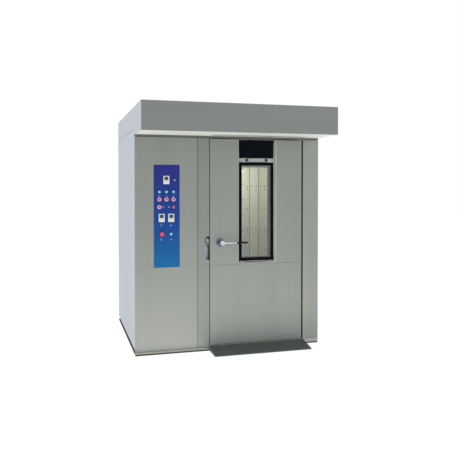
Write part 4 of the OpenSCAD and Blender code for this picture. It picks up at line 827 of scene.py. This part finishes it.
# %% [markdown]
# ## Riveted slats
# The chamber's back wall is a row of folded slats on cross rails. Each rail shows as one or
# two rows of rivets, and the nozzle strip has its own row. They are what tells an eye behind
# the window that the wall is built up of narrow sheets.

# %% Slat rivets
SLAT_PITCH, SLAT_COUNT = 115, 9
RIVET_RIGHT, RIVET_LEFT, RIVET_Y = 29, 26, 6
PAIRED_ROWS, SINGLE_ROWS = (1643, 1120, 597), (1880, 1604, 1359, 1081, 858, 558, 340)
NOZZLE_IN, NOZZLE_CLEAR, NOZZLE_ROWS = 23, 22, range(150, 1990, 190)
slat_right = slats_high.x - 1
nozzle_x = slats_high.x + 1 - 3 * SLAT_PITCH + NOZZLE_IN
rivet_places = []
for i in range(SLAT_COUNT):
    right = slat_right - i * SLAT_PITCH
    columns = ((right - RIVET_RIGHT, PAIRED_ROWS + SINGLE_ROWS),
               (right - SLAT_PITCH + RIVET_LEFT, PAIRED_ROWS))
    rivet_places += [(x, slats_low.y + RIVET_Y, z) for x, rows in columns for z in rows
                     if abs(x - nozzle_x) > NOZZLE_CLEAR]
fasteners("slat_rivets", rivet_places, "-Y", 8, 4, "cabinet", rivet_shade_steel)
fasteners("nozzle_strip_rivets", [(nozzle_x, slats_low.y, z) for z in NOZZLE_ROWS], "-Y", 7, 3,
          "cabinet", rivet_shade_steel)

# %% [markdown]
# ## Rings and plates
# Seals, retainers and trim strips are all rings of one section. A plane is laid where the ring
# goes, its face is inset by the bar's width, the inner face is deleted, and the rest is
# extruded to its depth. The normals are then turned outwards and the edges bevelled. Flat
# pieces such as displays are plates: a block whose front face is inset and pressed in.

# %% Ring and plate helpers


def frame_up(obj, bar, depth):
    """Turns a single face into a ring: bar is its width in mm, depth its extrusion in metres."""
    bpy.ops.object.transform_apply(location=True, rotation=True, scale=True)
    edit(obj)
    bpy.ops.mesh.select_all(action="SELECT")
    bpy.ops.mesh.inset(thickness=bar * MM, depth=0)
    bpy.ops.mesh.delete(type="FACE")
    bpy.ops.mesh.select_all(action="SELECT")
    bpy.ops.mesh.extrude_region_move(TRANSFORM_OT_translate={"value": depth})
    bpy.ops.mesh.select_all(action="SELECT")
    bpy.ops.mesh.normals_make_consistent(inside=False)
    return done(obj)


def ring(name, low, high, bar, body, finish, axis="Y", edge=0.8):
    """A rectangular ring between two casing places; axis is the way it was extruded."""
    a, b = at(*low), at(*high)
    middle, size = (a + b) / 2, b - a
    bpy.ops.object.select_all(action="DESELECT")
    if axis == "Y":
        bpy.ops.mesh.primitive_plane_add(size=1, location=(middle.x, a.y, middle.z),
                                         rotation=(math.radians(90), 0, 0))
        bpy.context.object.scale = (size.x, size.z, 1)
        depth = (0, size.y, 0)
    else:
        bpy.ops.mesh.primitive_plane_add(size=1, location=(middle.x, middle.y, a.z))
        bpy.context.object.scale = (size.x, size.y, 1)
        depth = (0, 0, size.z)
    obj = frame_up(bpy.context.object, bar, depth)
    if edge:
        apply_modifier(obj, "BEVEL", width=edge * MM, segments=2, limit_method="ANGLE")
    return give(obj, name, finish, body)


def plate(name, low, high, rim, sink, body, finish, edge=0.4):
    """A block whose front face is inset by rim and sunk, all in millimetres."""
    a, b = at(*low), at(*high)
    bpy.ops.object.select_all(action="DESELECT")
    bpy.ops.mesh.primitive_cube_add(size=1, location=(a + b) / 2)
    obj = bpy.context.object
    obj.scale = b - a
    bpy.ops.object.transform_apply(location=True, rotation=True, scale=True)
    edit(obj)
    pick_front(obj)
    bpy.ops.mesh.inset(thickness=rim * MM, depth=-sink * MM)
    done(obj)
    apply_modifier(obj, "BEVEL", width=edge * MM, segments=1, limit_method="ANGLE")
    return give(obj, name, finish, body)


# %% [markdown]
# The plinth strip fills the gap between the casing and the floor with black rubber: a painted
# shadow line for the oven. It stands a little outside the base frame under the casing's
# sheets. The window pane sits in a rubber lip, and the inner pane is held by a frame on the
# door's pan.

# %% Plinth strip, seals and retainer
STRIP_OUT, STRIP_IN, STRIP_Y, STRIP_FOOT = 9.5, 0.5, 2.5, 1
base_low, base_high = node_mm("base_frame")
ring("plinth_strip", (base_low.x - STRIP_OUT, STRIP_Y, STRIP_FOOT),
     (base_high.x + STRIP_OUT, base_high.y + STRIP_OUT, base_low.z), STRIP_OUT + STRIP_IN,
     "cabinet", seal_rubber_and_gap_shade, axis="Z", edge=0)

LIP, LIP_IN, LIP_T, LIP_BEHIND = 6, 4.7, 4.5, 0.1
pane_low, pane_high = node_mm("window_glass")
ring("window_pane_lip", (pane_low.x + LIP_IN, pane_low.y - LIP_T, pane_low.z + LIP_IN),
     (pane_high.x - LIP_IN, pane_low.y - LIP_BEHIND, pane_high.z - LIP_IN), LIP, "window",
     seal_rubber_and_gap_shade, edge=0.5)

RETAINER, RETAINER_T, RETAINER_OUT = 14, 14, 6
pan_back = node_mm("door_inner_pan")[1].y
ring("inner_pane_retainer",
     (inner_low.x - RETAINER_OUT, pan_back - 0.2, inner_low.z - RETAINER_OUT),
     (inner_high.x + RETAINER_OUT, pan_back + RETAINER_T, inner_high.z + RETAINER_OUT), RETAINER,
     "door", frame_paint, edge=1.2)

# %% [markdown]
# Behind the inner pane two frames line the opening: a grey one that clamps the pane, and a
# dark one that presses on the seal. Seen at an angle they give the window its depth. The
# slats are lapped, and a narrow dark strip over each lap paints its shade.

# %% Pane frames and slat seams
LINING, SEAL, LINING_T, LINING_DROP = 28, 36, 3, 13
lining_left, lining_right = inner_low.x - 1, inner_high.x + 1
lining_foot, lining_top = inner_low.z - LINING_DROP, inner_high.z
ring("inner_pane_frame", (lining_left, inner_high.y + 0.2, lining_foot),
     (lining_right, pan_back + LINING_T, lining_top), LINING, "door", lining_steel)
ring("inner_pane_seal", (lining_left, pan_back + LINING_T, lining_foot),
     (lining_right, pan_back + RETAINER_T, lining_top), SEAL, "door", seal_rubber_and_gap_shade)

SEAM_HALF, SEAM_IN, SEAM_Y, SEAM_T, SEAM_END = 3.5, 1.5, 5, 1.5, 2
# Dark strips over the slats' laps: painted shade.
for i in range(1, SLAT_COUNT):
    seam_x = slat_right - i * SLAT_PITCH + SEAM_IN
    plate("slat_seam_" + str(i),
          (seam_x - SEAM_HALF, slats_low.y + SEAM_Y, slats_low.z + SEAM_END),
          (seam_x + SEAM_HALF, slats_low.y + SEAM_Y + SEAM_T, slats_high.z - SEAM_END),
          1.0, 0.2, "cabinet", rivet_shade_steel, 0.2)

# %% [markdown]
# ## Displays and marks on the panel
# Each controller shows a dark display behind a thin glass, set in the upper half of its
# housing, over a narrow strip of keys. Beside the buttons are small printed marks; they are
# left generic, as bars and rings without letters.

# %% Displays and marks
display_glass = grainy("glass_display_dark", "#3a4046", "#22262b", 6.0, 0.01, 0.0, 0.15, 0.1)
print_white = grainy("ink_white_screen_printed", "#aab4dc", "#98a2cf", 1.0, 0.02, 0.0, 0.5, 0.2)
film_y = PANEL_Y - FILM_T
housing_y = node_mm("temperature_controllers")[0].y
PRINT_T, MARK_RADIUS = 0.3, 8
CONTROLLER_PLACES = ((305.25, 1710), (258.95, 1340), (352.95, 1340))
DISPLAY_HALF, DISPLAY_LOW, DISPLAY_HIGH, DISPLAY_T = 20, -1, 32, 2.4
KEYS_LOW, KEYS_HIGH, KEYS_OUT, KEYS_IN = -14, -9, 0.1, 1.4
for i, (x, z) in enumerate(CONTROLLER_PLACES, 1):
    plate("controller_display_" + str(i), (x - DISPLAY_HALF, housing_y, z + DISPLAY_LOW),
          (x + DISPLAY_HALF, housing_y + DISPLAY_T, z + DISPLAY_HIGH), 1.6, 0.5,
          "service_door", display_glass)
    plate("controller_key_strip_" + str(i), (x - DISPLAY_HALF, housing_y - KEYS_OUT, z + KEYS_LOW),
          (x + DISPLAY_HALF, housing_y + KEYS_IN, z + KEYS_HIGH), 0.8, 0.3,
          "service_door", switch_plastic)


def mark_ring(x, z, radius):
    """A thin printed ring on the film."""
    bpy.ops.object.select_all(action="DESELECT")
    bpy.ops.mesh.primitive_circle_add(vertices=24, radius=radius * MM, fill_type="NGON",
                                      location=at(x, film_y, z), rotation=(math.radians(90), 0, 0))
    return frame_up(bpy.context.object, radius * 0.4, (0, -PRINT_T * MM, 0))


BAR_HALF, BAR_LOW, BAR_HIGH, BAR_CENTRES = 9, 1550, 1556, (236.25, 306.25, 376.25)
for i, x in enumerate(BAR_CENTRES, 1):
    plate("mark_bar_" + str(i), (x - BAR_HALF, film_y - PRINT_T, BAR_LOW),
          (x + BAR_HALF, film_y + 0.1, BAR_HIGH), 1.2, 0.1, "service_door", print_white,
          0.1)
INDICATOR_X, INDICATOR_Z = 388, 1708
RING_PLACES = ((276, 1446), (330, 1446), (257, 1268), (350, 1265), (255, 1128), (352, 1127))
for i, (x, z) in enumerate(RING_PLACES, 1):
    give(mark_ring(x, z, MARK_RADIUS), "mark_ring_" + str(i), print_white,
         "service_door")
fasteners("indicator_lamp", [(INDICATOR_X, film_y + 0.1, INDICATOR_Z)], "-Y", 10, 5,
          "service_door", zinc_plated)

# %% [markdown]
# ## The wire under the window
# The photograph shows a thin dark line that sags in the gap under the window's lower bar. It
# is read here as a stiff bent wire that is fixed to the window at both ends, so it rides on
# the window. It is a Bezier curve with a round section, turned into a mesh.

# %% Wire under the window
STAY_R, STAY_SAG, STAY_RISE, BAR_MIDDLE = 2.4, 15, 3, 14
STAY_LEFT, STAY_RIGHT, STAY_SHIFT = 18, 22, 10
frame_foot = node_mm("window_frame")[0]
stay_z = frame_foot.z + BAR_MIDDLE
bar_low, bar_high = node_mm("clamp_bar")
points = [(bar_low.x + STAY_LEFT, frame_foot.y - 1, stay_z + STAY_RISE),
          ((bar_low.x + bar_high.x) / 2 - STAY_SHIFT, frame_foot.y - 6, stay_z - STAY_SAG),
          (bar_high.x - STAY_RIGHT, frame_foot.y - 1, stay_z + STAY_RISE)]
bpy.ops.object.select_all(action="DESELECT")
bpy.ops.curve.primitive_bezier_curve_add(location=(0, 0, 0))
stay = bpy.context.object
spline = stay.data.splines[0]
spline.bezier_points.add(len(points) - 2)
for point, place in zip(spline.bezier_points, points):
    point.co = at(*place)
    point.handle_left_type = point.handle_right_type = "AUTO"
stay.data.bevel_depth = STAY_R * MM
stay.data.bevel_resolution = 3
stay.data.use_fill_caps = True
bpy.ops.object.convert(target="MESH")
weld(stay)
give(done(stay, 60), "window_stay_wire", black_anodised, "window")

# %% [markdown]
# ## Service covers at the back
# The covers at the back come off for service, so each is held by countersunk screws down both
# edges. The screws lie flush: their seats are cut out of the sheet with a boolean modifier,
# and the heads are set a little below its face.

# %% Countersunk screws
SEAT_R, SEAT_T, HEAD_T, HEAD_SUNK = 6, 2.2, 1.8, 2.1


def sunk_screws(name, target, places, body):
    """Cuts seats into the back of a dressed sheet and sets screw heads into them."""
    sheet = bpy.data.objects[target]
    bpy.ops.object.select_all(action="DESELECT")
    bpy.ops.mesh.primitive_cylinder_add(vertices=16, radius=SEAT_R * MM, depth=2 * SEAT_T * MM,
                                        rotation=(math.radians(90), 0, 0))
    seat = bpy.context.object
    bpy.ops.object.transform_apply(location=True, rotation=True, scale=True)
    cutters = copies(seat, [at(*place) for place in places], name + "_seats")
    apply_modifier(sheet, "BOOLEAN", object=cutters, operation="DIFFERENCE", solver="EXACT")
    bpy.data.objects.remove(cutters)
    weld(sheet)
    sunk = [(x, y - HEAD_SUNK, z) for x, y, z in places]
    return fasteners(name, sunk, "+Y", SEAT_R - 0.5, HEAD_T, body, zinc_plated, socket=True)


COVERS, COVER_ROWS, COVER_RIM, COVER_END = 4, 7, 14, 40
rear_low, rear_high = node_mm("rear_panels")
rear_w, rear_h = rear_high.x - rear_low.x, rear_high.z - rear_low.z
row_step = (rear_h - 2 * COVER_END) / (COVER_ROWS - 1)
columns = [edge * rear_w / COVERS + side * COVER_RIM
           for edge in range(COVERS + 1) for side in (-1, 1)]
cover_places = [(rear_low.x + x, rear_high.y, rear_low.z + COVER_END + row * row_step)
                for row in range(COVER_ROWS) for x in columns if 0 < x < rear_w]
sunk_screws("rear_cover_screws", "rear_sheets", cover_places, "cabinet")
